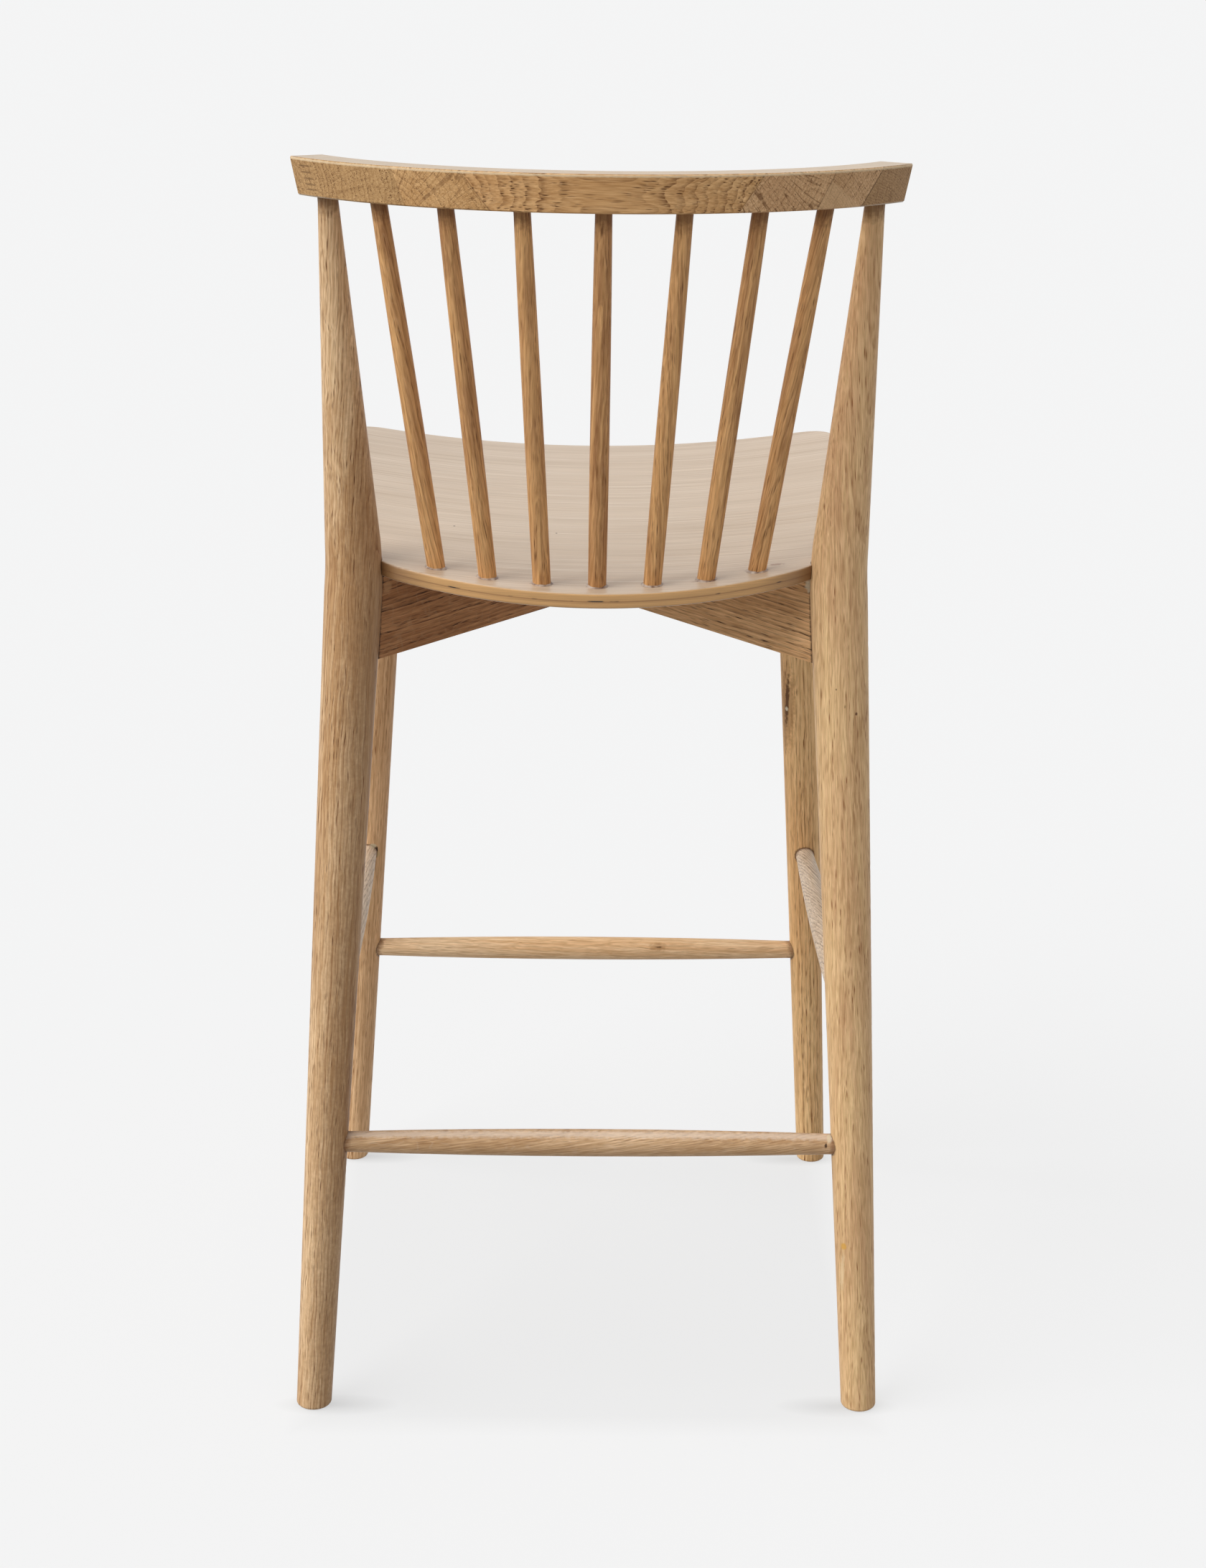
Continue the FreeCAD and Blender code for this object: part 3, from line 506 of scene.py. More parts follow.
def oak_piece(name, start, end, pith_side, pith_depth, seed, tone, marks, sheen=0.0):
    """Dresses a stick in oak whose grain runs from start to end, its pith off to one side."""
    along = (end - start).normalized()
    out = -(pith_side - along * pith_side.dot(along)).normalized()
    turn = Matrix((out, along.cross(out), along))
    shift = Vector((pith_depth, 0.0, seed * SEED_STRIDE)) - turn @ start
    material, tree = new_finish(name + "_oak")
    place = put(tree, "ShaderNodeTexCoord", out="Object")
    mapping = {"Vector": place, "Location": shift, "Rotation": turn.to_euler("XYZ")}
    grain = put(tree, "ShaderNodeMapping", mapping)
    oak = tree.nodes.new("ShaderNodeGroup")
    oak.node_tree = SOLID_OAK
    tree.links.new(grain, oak.inputs["Vector"])
    for label, value in tone.items():
        oak.inputs[label].default_value = value
    colour = marked(tree, place, oak.outputs["Color"], marks)
    # Painted sheen where the face is seen at a shallow angle
    if sheen:
        colour = painted_grazing_sheen(tree, colour, sheen)
    rough, height = oak.outputs["Roughness"], oak.outputs["Height"]
    close_finish(tree, colour, rough, height, bump=0.35, depth=0.0004)
    dress(stool[name], material)


def ends_of(name):
    """The middles of a long piece's two ends, read from its solid, the end at the lower value first."""
    low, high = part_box(name)
    axis = max(range(3), key=lambda i: high[i] - low[i])
    reach = 0.02 * (high[axis] - low[axis])
    points = [vertex.co for vertex in stool[name].data.vertices]
    first = [p for p in points if p[axis] < low[axis] + reach]
    last = [p for p in points if p[axis] > high[axis] - reach]
    return sum(first, Vector()) / len(first), sum(last, Vector()) / len(last)


def mirrored(point, side):
    return Vector((point.x * side, point.y, point.z))


def collar(place, along, radius, width, colour=GLUE_BROWN, strength=0.8):
    values = {"Place": place, "Along": along.normalized(), "Radius": radius, "Width": width}
    return ("collar", colour, strength, values)


def spot(centre, size, colour, strength):
    return ("spot", colour, strength, {"Centre": centre, "Size": size})


def seam(place, normal, width, colour, strength):
    return ("seam", colour, strength, {"Place": place, "Normal": normal, "Width": width})


# Lines of the legs, with their radii at the foot and at the top, and the legs that hold each stretcher

LEFT, RIGHT = 1, -1
FRONT_LEAN = Vector((-math.tan(FRONT_LEG_SPLAY), math.tan(FRONT_LEG_RAKE), 1.0))
FRONT_TOP = FRONT_FOOT + FRONT_LEAN * FRONT_LEG_HEIGHT
LEG_LINES = {}
for kind, foot, top, foot_radius, top_radius in (
    ("back_leg_", BACK_FOOT, BACK_BEND, BACK_FOOT_RADIUS, BACK_BEND_RADIUS),
    ("front_leg_", FRONT_FOOT, FRONT_TOP, FRONT_FOOT_RADIUS, FRONT_TOP_RADIUS),
):
    for side_name, side in (("left", LEFT), ("right", RIGHT)):
        ends = mirrored(foot, side), mirrored(top, side)
        LEG_LINES[kind + side_name] = (*ends, foot_radius, top_radius)
STRETCHER_LEGS = {
    "stretcher_front": ("front_leg_right", "front_leg_left"),
    "stretcher_back": ("back_leg_right", "back_leg_left"),
    "stretcher_left": ("front_leg_left", "back_leg_left"),
    "stretcher_right": ("front_leg_right", "back_leg_right"),
}


def socket_rings(leg):
    """Brown glue rings on a leg where the stretchers come out of it."""
    rings = []
    for name, legs in STRETCHER_LEGS.items():
        if leg in legs:
            near, far = ends_of(name) if leg == legs[0] else reversed(ends_of(name))
            rings.append(collar(near, far - near, STRETCHER_END_RADIUS, 0.0017))
    return rings


def leg_stain_and_shade(leg, height, width, colour, strength):
    """A dark collar on another piece where it runs into a leg at about the given height: a stain on the
    stretchers, and painted shade in the joint gap on the bearers.
    """
    foot, top, foot_radius, top_radius = LEG_LINES[leg]
    share = (height - foot.z) / (top.z - foot.z)
    radius = foot_radius + (top_radius - foot_radius) * share
    return collar(foot, top - foot, radius, width, colour, strength)


# Legs: the grain follows the lower leg, and the back legs' posts are cut across it a little

KNOT = Vector((-0.1738, -0.2156, 0.4518))
RESIN = Vector((-0.1955, 0.1846, 0.1411))
LOOSE_JOINT = Vector((0.1905, -0.219, 0.3205))
JOINT_GAP = LOOSE_JOINT + Vector((-0.003, 0.0, -0.004))
JOINT_DRIP = LOOSE_JOINT + Vector((-0.0045, 0.0, -0.009))
INNER_SIDE = BACK_BEND - Vector((0.024, 0.0, 0.0))
LEG_MARKS = {
    "back_leg_left": [
        # Painted shade: the left back leg is darker along its inner side, which faces away from the lamp
        seam(INNER_SIDE, Vector((0.998, 0.0, 0.058)), 0.036, shade(150, 112, 80), 0.5),
    ],
    "front_leg_left": [
        spot(LOOSE_JOINT, (0.0035, 0.008, 0.0028), GLUE_PALE, 0.85),
        spot(JOINT_GAP, (0.0018, 0.008, 0.0030), shade(52, 38, 30), 0.9),
        spot(JOINT_DRIP, (0.0016, 0.008, 0.0040), shade(206, 182, 132), 0.6),
    ],
    "back_leg_right": [
        spot(RESIN, (0.0024, 0.01, 0.0032), shade(222, 168, 76), 0.8),
        spot(RESIN - Vector((0, 0, 0.022)), (0.0018, 0.01, 0.02), shade(232, 206, 166), 0.5),
        spot(Vector((-0.1882, 0.1711, 0.5638)), (0.0010, 0.003, 0.0013), shade(84, 48, 34), 0.85),
        spot(Vector((-0.1728, 0.1719, 0.5822)), (0.0008, 0.003, 0.0010), shade(110, 76, 48), 0.7),
        spot(Vector((-0.1795, 0.1730, 0.5697)), (0.0007, 0.003, 0.0018), shade(120, 84, 54), 0.6),
    ],
    "front_leg_right": [
        spot(KNOT, (0.008, 0.02, 0.045), shade(150, 104, 64), 0.45),
        spot(KNOT + Vector((0, 0, 0.008)), (0.0019, 0.01, 0.032), shade(82, 48, 28), 0.85),
        spot(KNOT, (0.0014, 0.01, 0.0024), shade(228, 216, 190), 0.9),
    ],
}
# Painted shade: a dark band on the legs and spindles just under the crest rail, where the rail's shadow
# falls
PAINTED_SHADE_UNDER_RAIL = seam(Vector((0.0, 0.0, RAIL_BOTTOM_Z)), UP, 0.015, shade(92, 58, 36), 0.6)
# The pith's side and depth, the tone, and how far the grain runs out at the top
LEG_GRAIN = {
    "back_leg_left": (Vector((-1, 0.3, 0)), 0.06, LEG_OAK, (0.0, 0.01, 0.0)),
    "front_leg_left": (Vector((-1, -0.4, 0)), 0.07, FRONT_OAK, (0.0, 0.0, 0.0)),
    "back_leg_right": (Vector((0.6, -1, 0)), 0.08, COARSE_OAK, (0.0, 0.03, 0.0)),
    "front_leg_right": (Vector((1, 0.5, 0)), 0.05, BRIGHT_OAK, (0.0, 0.0, 0.0)),
}
for number, (name, (pith, depth, tone, runout)) in enumerate(LEG_GRAIN.items()):
    foot, top = LEG_LINES[name][:2]
    marks = socket_rings(name) + LEG_MARKS[name] + [PAINTED_SHADE_UNDER_RAIL]
    seed = GRAIN_SEEDS["legs"] + number
    oak_piece(name, foot, top + Vector(runout), pith, depth, seed, tone, marks)

# Spindles: each has its pith on another side, and its grain runs out of the side a little

for number, name in enumerate(SPINDLES):
    low_end, high_end = ends_of(name)
    angle = 2.4 * number
    pith = Vector((math.cos(angle), math.sin(angle), 0))
    runout = Vector((0.02 * math.sin(1.7 * number + 1.0), 0.01, 0.0))
    depth = 0.018 + 0.004 * (number % 3)
    seed = GRAIN_SEEDS["spindles"] + number
    oak_piece(name, low_end, high_end + runout, pith, depth, seed, SPINDLE_OAK, [PAINTED_SHADE_UNDER_RAIL])

# Stretchers: the back one's grain slants across it, and the side ones' pith lies off to the side

DARK_SLOT = Vector((-0.0665, -0.2304, 0.2203))
TORN_END = Vector((-0.1819, 0.1745, 0.2262))
PAINTED_HIGHLIGHT_FLANK = Vector((0.0, 0.1672, 0.2225))
LOW_PITH = Vector((0.2, 0.3, -1))
# The tone, the pith's side and depth, how far the grain runs out, and the marks
STRETCHER_GRAIN = {
    "stretcher_front": (
        STRETCHER_OAK,
        LOW_PITH,
        0.03,
        (0.0, 0.0, 0.012),
        [
            spot(DARK_SLOT, (0.0100, 0.006, 0.0045), shade(176, 128, 82), 0.5),
            spot(DARK_SLOT, (0.0042, 0.004, 0.0008), shade(104, 72, 46), 0.8),
        ],
    ),
    "stretcher_back": (
        SLANTED_OAK,
        LOW_PITH,
        0.03,
        (0.0, 0.0, -0.06),
        [
            # Painted highlight: a pale line along the back stretcher's upper flank, where the overhead
            # light reflects
            seam(PAINTED_HIGHLIGHT_FLANK, Vector((0, -0.74, 0.67)), 0.0042, shade(236, 220, 204), 0.5),
            spot(TORN_END + Vector((0.0, 0.0, 0.002)), (0.0022, 0.008, 0.0060), GLUE_PALE, 0.8),
            spot(
                TORN_END + Vector((0.0025, 0.0, -0.004)),
                (0.0014, 0.006, 0.0024),
                shade(58, 38, 28),
                0.9,
            ),
        ],
    ),
    "stretcher_left": (
        SIDE_OAK,
        Vector((-1, 0, -0.2)),
        0.2,
        (0.03, 0.0, 0.0),
        [spot(LOOSE_JOINT, (0.004, 0.006, 0.003), GLUE_PALE, 0.7)],
    ),
    "stretcher_right": (SIDE_OAK, Vector((1, 0, -0.2)), 0.2, (-0.1, 0.0, 0.0), []),
}
for number, (name, (tone, pith, depth, runout, marks)) in enumerate(STRETCHER_GRAIN.items()):
    first, last = ends_of(name)
    stain = shade(122, 74, 42)
    stains = [leg_stain_and_shade(leg, first.z, 0.0045, stain, 0.6) for leg in STRETCHER_LEGS[name]]
    seed = GRAIN_SEEDS["stretchers"] + number
    oak_piece(name, first, last + Vector(runout), pith, depth, seed, tone, stains + marks)

# Bearers: corner to corner under the seat, with a dark line of painted shade in the gap where they meet
# the legs

BEARER_BACK_Z, BEARER_JOINT_Z, BEARER_FRONT_Z = 0.62, 0.63, 0.645
# Painted light: a pale patch on the left bearer by its leg, where the lamp shines in between the seat and
# the leg
LEFT_LIGHT_PATCH = spot(
    Vector((0.1500, 0.1411, 0.6470)), (0.0036, 0.006, 0.0062), shade(196, 152, 110), 0.6
)
RIGHT_GLUE = spot(Vector((-0.1527, 0.1440, 0.6520)), (0.0028, 0.006, 0.0060), GLUE_PALE, 0.85)
# The last column is a painted light patch on the left bearer and a glue spot on the right one
for name, leg, side, tone, glue in (
    ("seat_bearer_left", "back_leg_left", LEFT, PAINTED_SHADE_BEARER_OAK, LEFT_LIGHT_PATCH),
    ("seat_bearer_right", "back_leg_right", RIGHT, PAINTED_LIT_BEARER, RIGHT_GLUE),
):
    low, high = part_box(name)
    back = Vector((high.x * side, high.y, BEARER_BACK_Z))
    front = Vector((low.x * side, low.y, BEARER_FRONT_Z))
    # Painted shade: a dark line in the gap where the bearer meets its leg
    joint = leg_stain_and_shade(leg, BEARER_JOINT_Z, 0.0016, shade(56, 42, 32), 0.8)
    seed = GRAIN_SEEDS["bearers"] + side
    oak_piece(name, back, front, -UP, 0.09, seed, tone, [joint, glue])

# Crest rail: long grain in the middle block, end grain turned towards the back in the others

RAIL_SEAM_WIDTH = 0.0011
PALE_CORNER_ACROSS, PALE_CORNER_Z = -0.151, 0.9433
CRACK_TOP, CRACK_LOW = Vector((0.2005, 0.1686, 0.9448)), Vector((0.1944, 0.1758, 0.9281))
CRACK_SHARES = (0.0, 0.24, 0.48, 0.7, 0.9)
CRACK_SIZE = (0.0075, 0.009, 0.0008)


def rail_place(across):
    """On the rail's rear face at half height, with the directions out of the face and along it."""
    angle = math.asin(across / RAIL_RADIUS)
    outward = Vector((math.sin(angle), math.cos(angle), 0.0))
    place = Vector((0.0, RAIL_CENTRE_Y, RAIL_MIDDLE_Z)) + outward * RAIL_RADIUS
    return place, outward, Vector((math.cos(angle), -math.sin(angle), 0.0))


def rail_seam(joint, strength=0.5):
    """The glue line of a slanted joint between two blocks, wider apart at the top."""
    across, slant = RAIL_JOINTS[joint]
    place, _, sideways = rail_place(across)
    side = LEFT if across > 0 else RIGHT
    lean = math.atan2(slant, RAIL_HEIGHT)
    normal = sideways * side * math.cos(lean) - UP * math.sin(lean)
    return seam(place, normal, RAIL_SEAM_WIDTH, SEAM_BROWN, strength)


def pale_corner():
    """The right outer block is paler below a slanting line that starts at its inner joint."""
    place, _, sideways = rail_place(PALE_CORNER_ACROSS)
    corner = Vector((place.x, place.y, PALE_CORNER_Z))
    values = {"Place": corner, "Normal": UP * 0.83 - sideways * 0.56}
    return ("below", shade(226, 188, 144), 0.4, values)


def tip_cracks():
    """Short dark dashes, one above the other, at the rail's left tip."""
    places = [CRACK_TOP.lerp(CRACK_LOW, share) for share in CRACK_SHARES]
    return [spot(place, CRACK_SIZE, SEAM_BROWN, 0.55) for place in places]


# Strength of the painted sheen on the rail's faces seen at a shallow angle
RAIL_SHEEN = 0.85
# Painted highlight: a pale line along the rail's rear top edge, where the chamfer catches the light
EDGE_HIGHLIGHT_Z = 0.9488
PAINTED_EDGE_HIGHLIGHT = seam(Vector((0.0, 0.0, EDGE_HIGHLIGHT_Z)), UP, 0.0010, shade(236, 210, 172), 0.75)
END_PITH_DEPTH = 0.07
oak_piece(
    "rail_block_centre",
    Vector((0.1, 0.25, 0.94)),
    Vector((-0.1, 0.25, 0.936)),
    Vector((0, -1, -0.15)),
    0.055,
    GRAIN_SEEDS["rail"],
    RAIL_OAK,
    [rail_seam("left_inner"), rail_seam("right_inner"), PAINTED_EDGE_HIGHLIGHT],
    RAIL_SHEEN,
)
RIGHT_OUTER_MARKS = [pale_corner(), rail_seam("right_tip", 0.9)]
# Each block's place across the rail, how its grain leans, how its pith rises, its tone and its marks
END_BLOCKS = {
    "rail_block_left_end": (0.171, 0.15, -0.3, SPECKLED_END, tip_cracks()),
    "rail_block_left_inner": (0.108, 0.3, -0.95, END_GRAIN, [rail_seam("left_outer", 0.3)]),
    "rail_block_right_inner": (-0.121, -0.3, 0.75, SHADED_END, [rail_seam("right_outer")]),
    "rail_block_right_outer": (-0.164, 0.2, -0.9, PALE_END, RIGHT_OUTER_MARKS),
    "rail_block_right_end": (-0.196, -0.2, -1.6, DULL_END, []),
}
for number, (name, (across, lean, rise, tone, marks)) in enumerate(END_BLOCKS.items(), start=1):
    place, outward, sideways = rail_place(across)
    end = place + outward + sideways * lean
    pith = sideways + UP * rise
    seed = GRAIN_SEEDS["rail"] + number
    marks = marks + [PAINTED_EDGE_HIGHLIGHT]
    oak_piece(name, place, end, pith, END_PITH_DEPTH, seed, tone, marks, RAIL_SHEEN)

# Seat: pale veneer laid across the stool, and an edge that shows the plies

# Grey of the edge from the top to the underside: two thick plies about a dark middle line
PLY_STEPS = [
    (0.0, 1.0),
    (0.46, 0.85),
    (0.50, 0.45),
    (0.56, 0.4),
    (0.60, 0.9),
    (0.64, 0.6),
    (0.68, 0.9),
    (1.0, 0.8),
]
# The veneer's red, green and blue at the front and at the rear, as shares of its colour: painted light,
# shaded at the front and lightened towards the rear as a painted sheen
PAINTED_LIGHT_FRONT_TO_REAR = ((0.93, 1.03), (0.95, 1.06), (0.98, 1.09))
# Stains and specks on the seat: place, size, colour and strength
SEAT_STAINS = [
    spot(Vector((-0.1290, 0.1425, 0.6668)), (0.0065, 0.0030, 0.004), shade(146, 104, 76), 0.7),
    spot(Vector((-0.0700, 0.1705, 0.6604)), (0.0050, 0.0012, 0.004), shade(150, 112, 84), 0.7),
    spot(Vector((0.1061, 0.0395, 0.6696)), (0.0010, 0.0016, 0.004), shade(110, 80, 60), 0.8),
    spot(Vector((0.0292, 0.0404, 0.6651)), (0.0010, 0.0016, 0.004), shade(110, 80, 60), 0.8),
]


def seat_finish():
    material, tree = new_finish("seat_veneer")
    place = put(tree, "ShaderNodeTexCoord", out="Object")
    # Local X across, Y to the back, Z up from the dish's axis
    turn = SEAT_TURN.transposed()
    shift = -(turn @ SEAT_PLACE) - Vector((0.0, 0.0, DISH_RADIUS))
    mapping = {"Vector": place, "Location": shift, "Rotation": turn.to_euler("XYZ")}
    local = put(tree, "ShaderNodeMapping", mapping)
    point = vectors(tree, "MULTIPLY", local, (1000.0, 1000.0, 0.0))
    radius = vectors(tree, "LENGTH", vectors(tree, "MULTIPLY", local, (1.0, 0.0, 1.0)), out=1)
    depth = sums(tree, "MULTIPLY", sums(tree, "SUBTRACT", radius, DISH_RADIUS), 1000.0)
    from_middle = sums(tree, "ABSOLUTE", sums(tree, "SUBTRACT", depth, SEAT_THICKNESS_MM / 2))
    across, back, _ = apart(tree, local)
    # Face veneer
    streak = cloud(tree, point, (150, 1.5, 1), 3.0, 0.65)
    fine = cloud(tree, point, (34, 0.7, 1), 2.0)
    broad = cloud(tree, point, (260, 26, 1), 1.0)
    streak, broad = span(tree, streak, 0.32, 0.68, 0.0, 0.9), span(tree, broad, 0.3, 0.7, -0.12, 0.2)
    tone = sums(tree, "ADD", streak, broad)
    face = blend(tree, tone, shade(217, 194, 169), shade(192, 166, 138))
    face = tinted(tree, face, span(tree, fine, 0.25, 0.75, 0.90, 1.08))
    lines = span(tree, cloud(tree, point, (300, 1.7, 1), 2.0), 0.60, 0.68)
    face = blend(tree, sums(tree, "MULTIPLY", lines, 0.65), face, shade(176, 142, 106))
    silver = vectors(tree, "ADD", point, (700.0, 300.0, 0.0))
    silver = span(tree, cloud(tree, silver, (280, 1.7, 1), 2.0), 0.61, 0.69)
    face = blend(tree, sums(tree, "MULTIPLY", silver, 0.65), face, shade(234, 218, 199))
    # Painted light: the veneer is shaded a little towards the front and towards the right, and lightened
    # towards the rear as a painted sheen
    painted_light_along = [span(tree, back, -0.4, 0.0, low, high) for low, high in PAINTED_LIGHT_FRONT_TO_REAR]
    face = tinted(tree, face, *painted_light_along)
    face = tinted(tree, face, span(tree, across, -0.18, 0.18, 0.96, 1.02))
    # Edge: the plies, and open gaps along their middle line
    plies = steps(tree, span(tree, depth, 0.0, SEAT_THICKNESS_MM), PLY_STEPS)
    run = vectors(tree, "MULTIPLY", local, MILLIMETRES)
    from_face = vectors(tree, "ADD", run, (0, 0, DISH_RADIUS * 1000))
    edge_streak = cloud(tree, from_face, (26, 26, 0.7), 3.0)
    edge = blend(tree, plies, shade(128, 84, 48), shade(216, 168, 110))
    edge = tinted(tree, edge, span(tree, edge_streak, 0.25, 0.75, 0.84, 1.12))
    middle = span(tree, from_middle, 0.25, 0.6, 1.0, 0.0)
    gaps = span(tree, cloud(tree, run, (16, 16, 40), 2.0), 0.56, 0.62)
    edge = blend(tree, sums(tree, "MULTIPLY", middle, gaps), edge, shade(38, 28, 20))
    # Painted shade: the edge is darker by the legs, where it turns away from the lamp and lies in the
    # legs' shadow
    painted_shade_by_legs = span(tree, sums(tree, "ABSOLUTE", across), 0.115, 0.152, 0.0, 0.85)
    edge = blend(tree, painted_shade_by_legs, edge, shade(114, 78, 48))
    # The veneer wraps the top and the underside
    colour = blend(tree, span(tree, from_middle, 4.7, 5.3), edge, face)
    marks = []
    for name in SPINDLES:
        low_end, high_end = ends_of(name)
        along = high_end - low_end
        marks.append(collar(low_end, along, SPINDLE_RADIUS, 0.0022, shade(140, 108, 86), 0.6))
    colour = marked(tree, place, colour, marks + SEAT_STAINS)
    rough = span(tree, fine, 0.2, 0.8, 0.34, 0.44)
    height = sums(tree, "ADD", fine, sums(tree, "MULTIPLY", edge_streak, 0.5))
    close_finish(tree, colour, rough, height, bump=0.12, depth=0.0003, specular=0.5)
    dress(stool["seat_panel"], material)


seat_finish()

# Screws: brushed zinc


def screw_finish():
    material, tree = new_finish("screw_zinc")
    place = put(tree, "ShaderNodeTexCoord", out="Object")
    brushed = cloud(tree, place, (0.0002, 0.004, 0.004), 3.0)
    stain = cloud(tree, place, (0.004, 0.004, 0.004), 3.0)
    colour = blend(tree, span(tree, stain, 0.35, 0.7), shade(196, 196, 198), shade(150, 146, 138))
    rough = span(tree, brushed, 0.2, 0.8, 0.28, 0.5)
    normal = put(tree, "ShaderNodeBump", {"Strength": 0.2, "Distance": 0.0001, "Height": brushed})
    values = {"Base Color": colour, "Metallic": 1.0, "Roughness": rough, "Normal": normal}
    finish_with(tree, put(tree, "ShaderNodeBsdfPrincipled", values))
    dress(stool["seat_screws"], material)


screw_finish()

# Glue squeezed out round the spindles' feet: each ring's section as radius and height

GLUE_PROFILE = [
    (0.0060, -0.0004),
    (0.0060, 0.0016),
    (0.0067, 0.0011),
    (0.0072, 0.0005),
    (0.0078, 0.0001),
    (0.0082, -0.0004),
]
GLUE_STEPS = 36
GLUE_RIPPLE = 0.035
FACE_TRIALS = 6


def seat_top(name):
    """Where a spindle's line comes through the seat's face, in metres."""
    low_end, high_end = ends_of(name)
    along = (high_end - low_end).normalized()
    turn = SEAT_TURN.transposed()
    reach = 0.0
    for _ in range(FACE_TRIALS):
        local = turn @ (low_end + along * reach - SEAT_PLACE)
        face = DISH_RADIUS - math.sqrt(DISH_RADIUS**2 - local.x**2)
        reach += face - local.z
    return low_end + along * reach


def glue_rings():
    mesh = bmesh.new()
    for number, name in enumerate(SPINDLES):
        place = seat_top(name)
        local_x = (SEAT_TURN.transposed() @ (place - SEAT_PLACE)).x
        normal = SEAT_TURN @ Vector((-local_x / DISH_RADIUS, 0, 1)).normalized()
        verts = [mesh.verts.new((radius, 0.0, height)) for radius, height in GLUE_PROFILE]
        edges = [mesh.edges.new(pair) for pair in zip(verts, verts[1:] + verts[:1])]
        bmesh.ops.spin(
            mesh,
            geom=verts + edges,
            cent=(0, 0, 0),
            axis=(0, 0, 1),
            angle=2 * math.pi,
            steps=GLUE_STEPS,
            use_merge=True,
        )
        loose = [v for v in mesh.verts if not v.tag]
        for vert in loose:
            angle = math.atan2(vert.co.y, vert.co.x)
            wave = math.sin(3 * angle + number) + 0.6 * math.sin(7 * angle + 2.3 * number)
            grow = 1.0 + GLUE_RIPPLE * wave * (vert.co.xy.length > SPINDLE_RADIUS)
            vert.co.x *= grow
            vert.co.y *= grow
            vert.tag = True
        turn = normal.to_track_quat("Z", "Y").to_matrix().to_4x4()
        bmesh.ops.transform(mesh, matrix=Matrix.Translation(place) @ turn, verts=loose)
    bmesh.ops.remove_doubles(mesh, verts=mesh.verts, dist=1e-6)
    bmesh.ops.recalc_face_normals(mesh, faces=mesh.faces)
    data = bpy.data.meshes.new("glue_rings")
    mesh.to_mesh(data)
    mesh.free()
    data.polygons.foreach_set("use_smooth", [True] * len(data.polygons))
    piece = bpy.data.objects.new("glue_rings", data)
    bpy.context.scene.collection.objects.link(piece)
    material, tree = new_finish("dried_glue")
    place = put(tree, "ShaderNodeTexCoord", out="Object")
    patches = cloud(tree, place, (0.004, 0.004, 0.004), 3.0)
    colour = blend(tree, span(tree, patches, 0.35, 0.65), shade(120, 88, 66), shade(196, 178, 162))
    rough = span(tree, patches, 0.3, 0.7, 0.3, 0.5)
    close_finish(tree, colour, rough, patches, bump=0.3, depth=0.0004, specular=0.5)
    dress(piece, material)
    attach(piece, "root")


glue_rings()

# Floor, light and camera

PAPER = shade(244, 244, 244)
COOL_PAPER = shade(243, 244, 245)
# Middle and half size of the painted shadow patch between the feet, and the greys and size of the painted
# shadows
GROUND_MIDDLE = (0.0, -0.025, 0.0)
GROUND_REACH = (0.222, 0.24, 1.0)
FOOT_SHADOW_SIZE = (0.05, 0.016, 1.0)
BLACK = (0.0, 0.0, 0.0, 1.0)
PAINTED_SHADOW_GREY = 0.055
FOOT_SHADOW_GREY = 0.14
# Of the floor's look, the share that is plain ground: the rest is lit and takes the cast shadow
GLOW_SHARE = 0.8
FLOOR_BOUNCE = (0.4, 0.4, 0.4, 1.0)
AMBIENT = (0.41, 0.41, 0.41, 1.0)
FLOOR_SIZE = 60.0
FLOOR_Z = -0.0002
# The photograph's camera: its place in metres, its turns in degrees and its focal length in pixels
CAMERA_PLACE = (0.028, 1.9527, 1.0984)
CAMERA_PITCH, CAMERA_YAW, CAMERA_ROLL = 18.3, -1.1, 0.8
FOCAL_PIXELS = 3599.8
PICTURE_HEIGHT = 2185
SENSOR = 36.0


def seen_by_camera(tree):
    """1 where the camera, a gloss or a glass sees the ground, 0 for light that bounces."""
    path = tree.nodes.new("ShaderNodeLightPath").outputs
    seen = sums(tree, "MAXIMUM", path["Is Camera Ray"], path["Is Glossy Ray"])
    return sums(tree, "MAXIMUM", seen, path["Is Transmission Ray"])


def painted_shadow_patch(tree, place):
    """Where a painted shadow lies: 1 on the ground between the feet, which little light reaches, and 0
    away from it.
    """
    share = vectors(tree, "DIVIDE", vectors(tree, "SUBTRACT", place, GROUND_MIDDLE), GROUND_REACH)
    across, back, _ = apart(tree, vectors(tree, "ABSOLUTE", share))
    return span(tree, sums(tree, "MAXIMUM", across, back), 0.93, 1.05, 1.0, 0.0)


def painted_foot_shadow(tree, place, foot):
    """A painted shadow: a soft dark streak on the ground, from a foot towards the one beside it."""
    middle = Vector((foot.x * 0.92, foot.y + 0.004, 0.0))
    away = vectors(tree, "DIVIDE", vectors(tree, "SUBTRACT", place, middle), FOOT_SHADOW_SIZE)
    return span(tree, vectors(tree, "LENGTH", away, out=1), 0.1, 1.0, FOOT_SHADOW_GREY, 0.0)


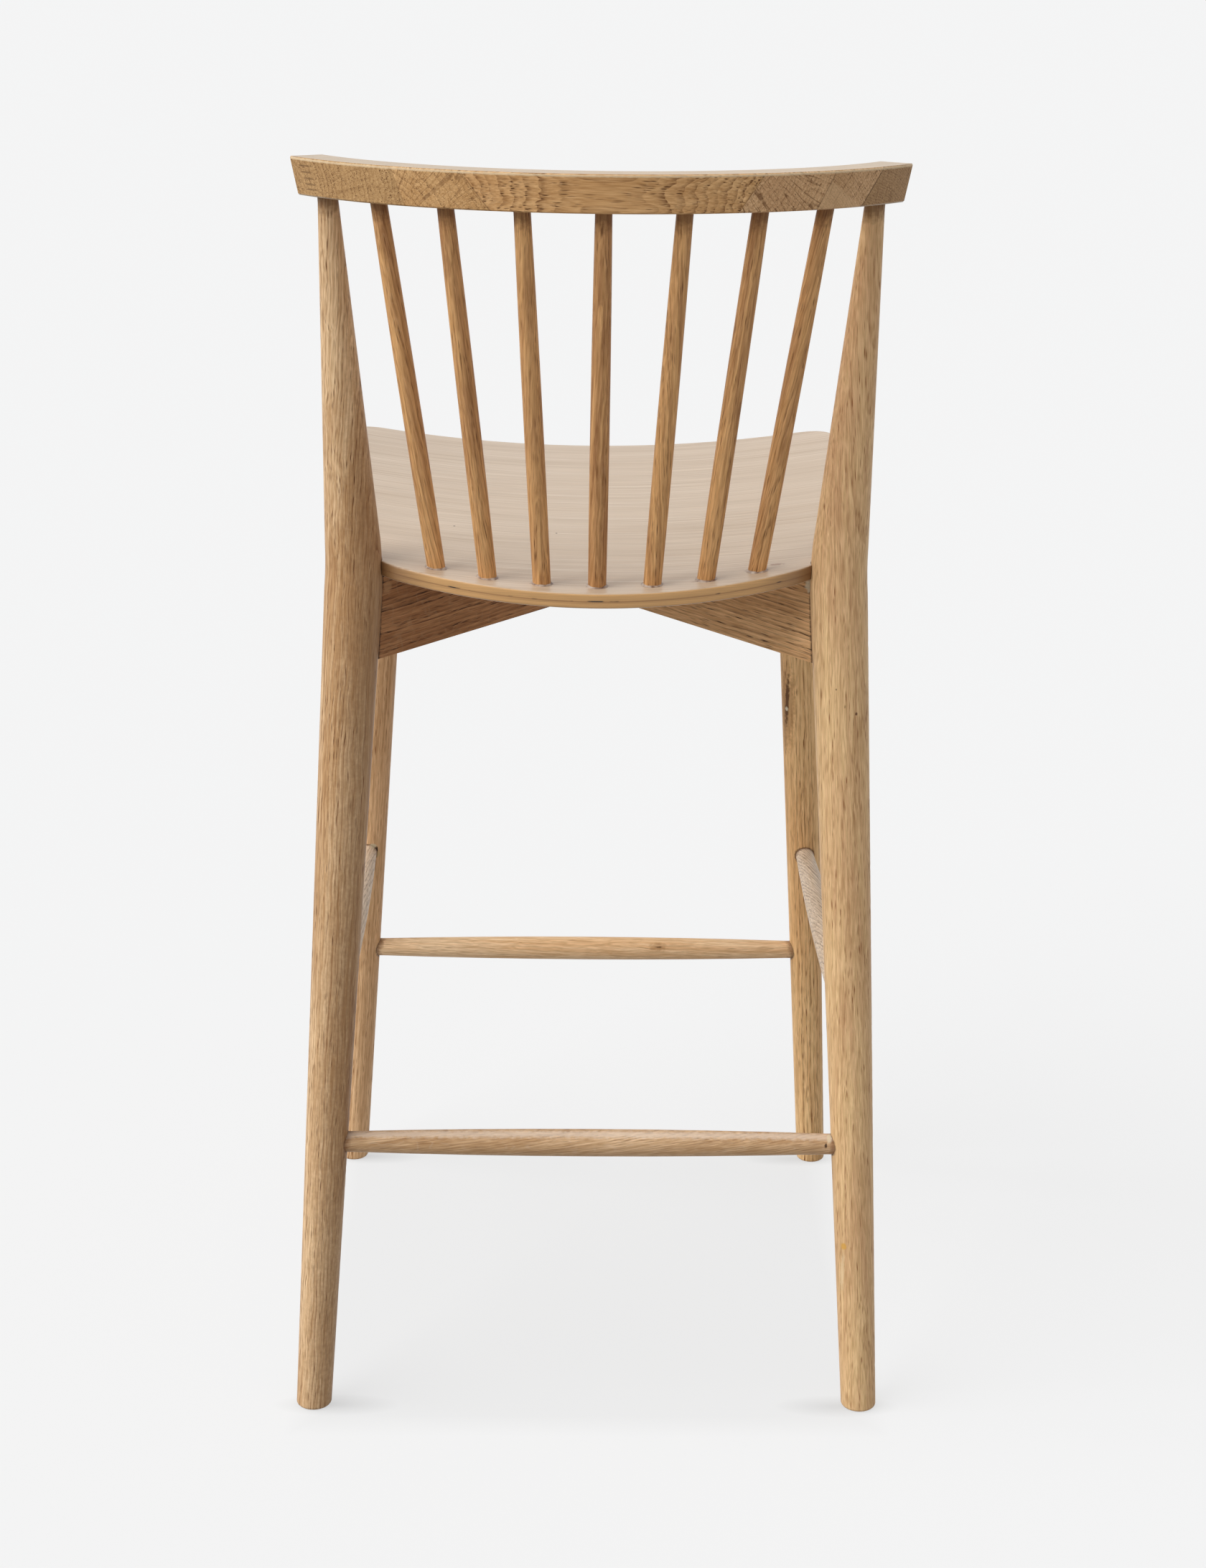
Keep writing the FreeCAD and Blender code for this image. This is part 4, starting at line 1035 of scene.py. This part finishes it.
def make_floor():
    mesh = bmesh.new()
    bmesh.ops.create_grid(mesh, x_segments=4, y_segments=4, size=FLOOR_SIZE)
    bmesh.ops.translate(mesh, verts=mesh.verts, vec=(0, 0, FLOOR_Z))
    data = bpy.data.meshes.new("floor")
    mesh.to_mesh(data)
    mesh.free()
    floor = bpy.data.objects.new("floor", data)
    bpy.context.scene.collection.objects.link(floor)
    material, tree = new_finish("pale_floor")
    bounce = put(tree, "ShaderNodeBsdfDiffuse", {"Color": FLOOR_BOUNCE})
    # The cast shadow shows on the whole floor, and a painted shadow makes the ground between the feet a
    # little darker, with a darker streak by each foot
    place = put(tree, "ShaderNodeTexCoord", out="Object")
    dark = sums(tree, "MULTIPLY", painted_shadow_patch(tree, place), PAINTED_SHADOW_GREY)
    for foot in (BACK_FOOT, FRONT_FOOT):
        for side in (LEFT, RIGHT):
            dark = sums(tree, "ADD", dark, painted_foot_shadow(tree, place, mirrored(foot, side)))
    paper = put(tree, "ShaderNodeBsdfDiffuse", {"Color": blend(tree, dark, COOL_PAPER, BLACK)})
    glow = {"Color": blend(tree, dark, PAPER, BLACK), "Strength": 1.0}
    glow = put(tree, "ShaderNodeEmission", glow)
    shown = put(tree, "ShaderNodeMixShader", (GLOW_SHARE, paper, glow))
    finish_with(tree, put(tree, "ShaderNodeMixShader", (seen_by_camera(tree), bounce, shown)))
    dress(floor, material)


def make_world():
    world = bpy.data.worlds.new("studio")
    world.use_nodes = True
    tree = world.node_tree
    tree.nodes.clear()
    ambient = put(tree, "ShaderNodeBackground", {"Color": AMBIENT, "Strength": 1.0})
    paper = put(tree, "ShaderNodeBackground", {"Color": PAPER, "Strength": 1.0})
    light = put(tree, "ShaderNodeMixShader", (seen_by_camera(tree), ambient, paper))
    finish_with(tree, light, "ShaderNodeOutputWorld")
    bpy.context.scene.world = world


def make_lamp(name, towards, strength, softness):
    """A soft far lamp; towards points from the stool to the lamp."""
    data = bpy.data.lights.new(name, "SUN")
    data.energy = strength
    data.angle = math.radians(softness)
    lamp = bpy.data.objects.new(name, data)
    lamp.rotation_euler = towards.to_track_quat("Z", "Y").to_euler()
    bpy.context.scene.collection.objects.link(lamp)


def compass(azimuth, height):
    """A direction from behind the stool, turned towards its left, and raised."""
    azimuth, height = math.radians(azimuth), math.radians(height)
    flat = math.cos(height)
    return Vector((flat * math.sin(azimuth), flat * math.cos(azimuth), math.sin(height)))


def make_camera():
    """The photograph's place and aim, for a picture of 1680 by 2185 pixels."""
    pitch, yaw, roll = (math.radians(turn) for turn in (CAMERA_PITCH, CAMERA_YAW, CAMERA_ROLL))
    level = math.cos(pitch)
    ahead = Vector((math.sin(yaw) * level, -math.cos(yaw) * level, -math.sin(pitch)))
    right = Vector((-math.cos(yaw), -math.sin(yaw), 0.0))
    up = right.cross(ahead)
    tilted_right = right * math.cos(roll) + up * math.sin(roll)
    tilted_up = up * math.cos(roll) - right * math.sin(roll)
    data = bpy.data.cameras.new("camera")
    data.sensor_width = SENSOR
    data.lens = SENSOR * FOCAL_PIXELS / PICTURE_HEIGHT
    data.clip_end = 200.0
    camera = bpy.data.objects.new("camera", data)
    turn = Matrix((tilted_right, tilted_up, -ahead)).transposed().to_4x4()
    camera.matrix_world = Matrix.Translation(CAMERA_PLACE) @ turn
    bpy.context.scene.collection.objects.link(camera)
    bpy.context.scene.camera = camera


make_floor()
make_world()
make_lamp("window_left", compass(azimuth=68, height=40), strength=2.35, softness=55)
make_lamp("ceiling", compass(azimuth=0, height=85), strength=0.4, softness=120)
make_camera()
bpy.context.scene.view_settings.view_transform = "Standard"
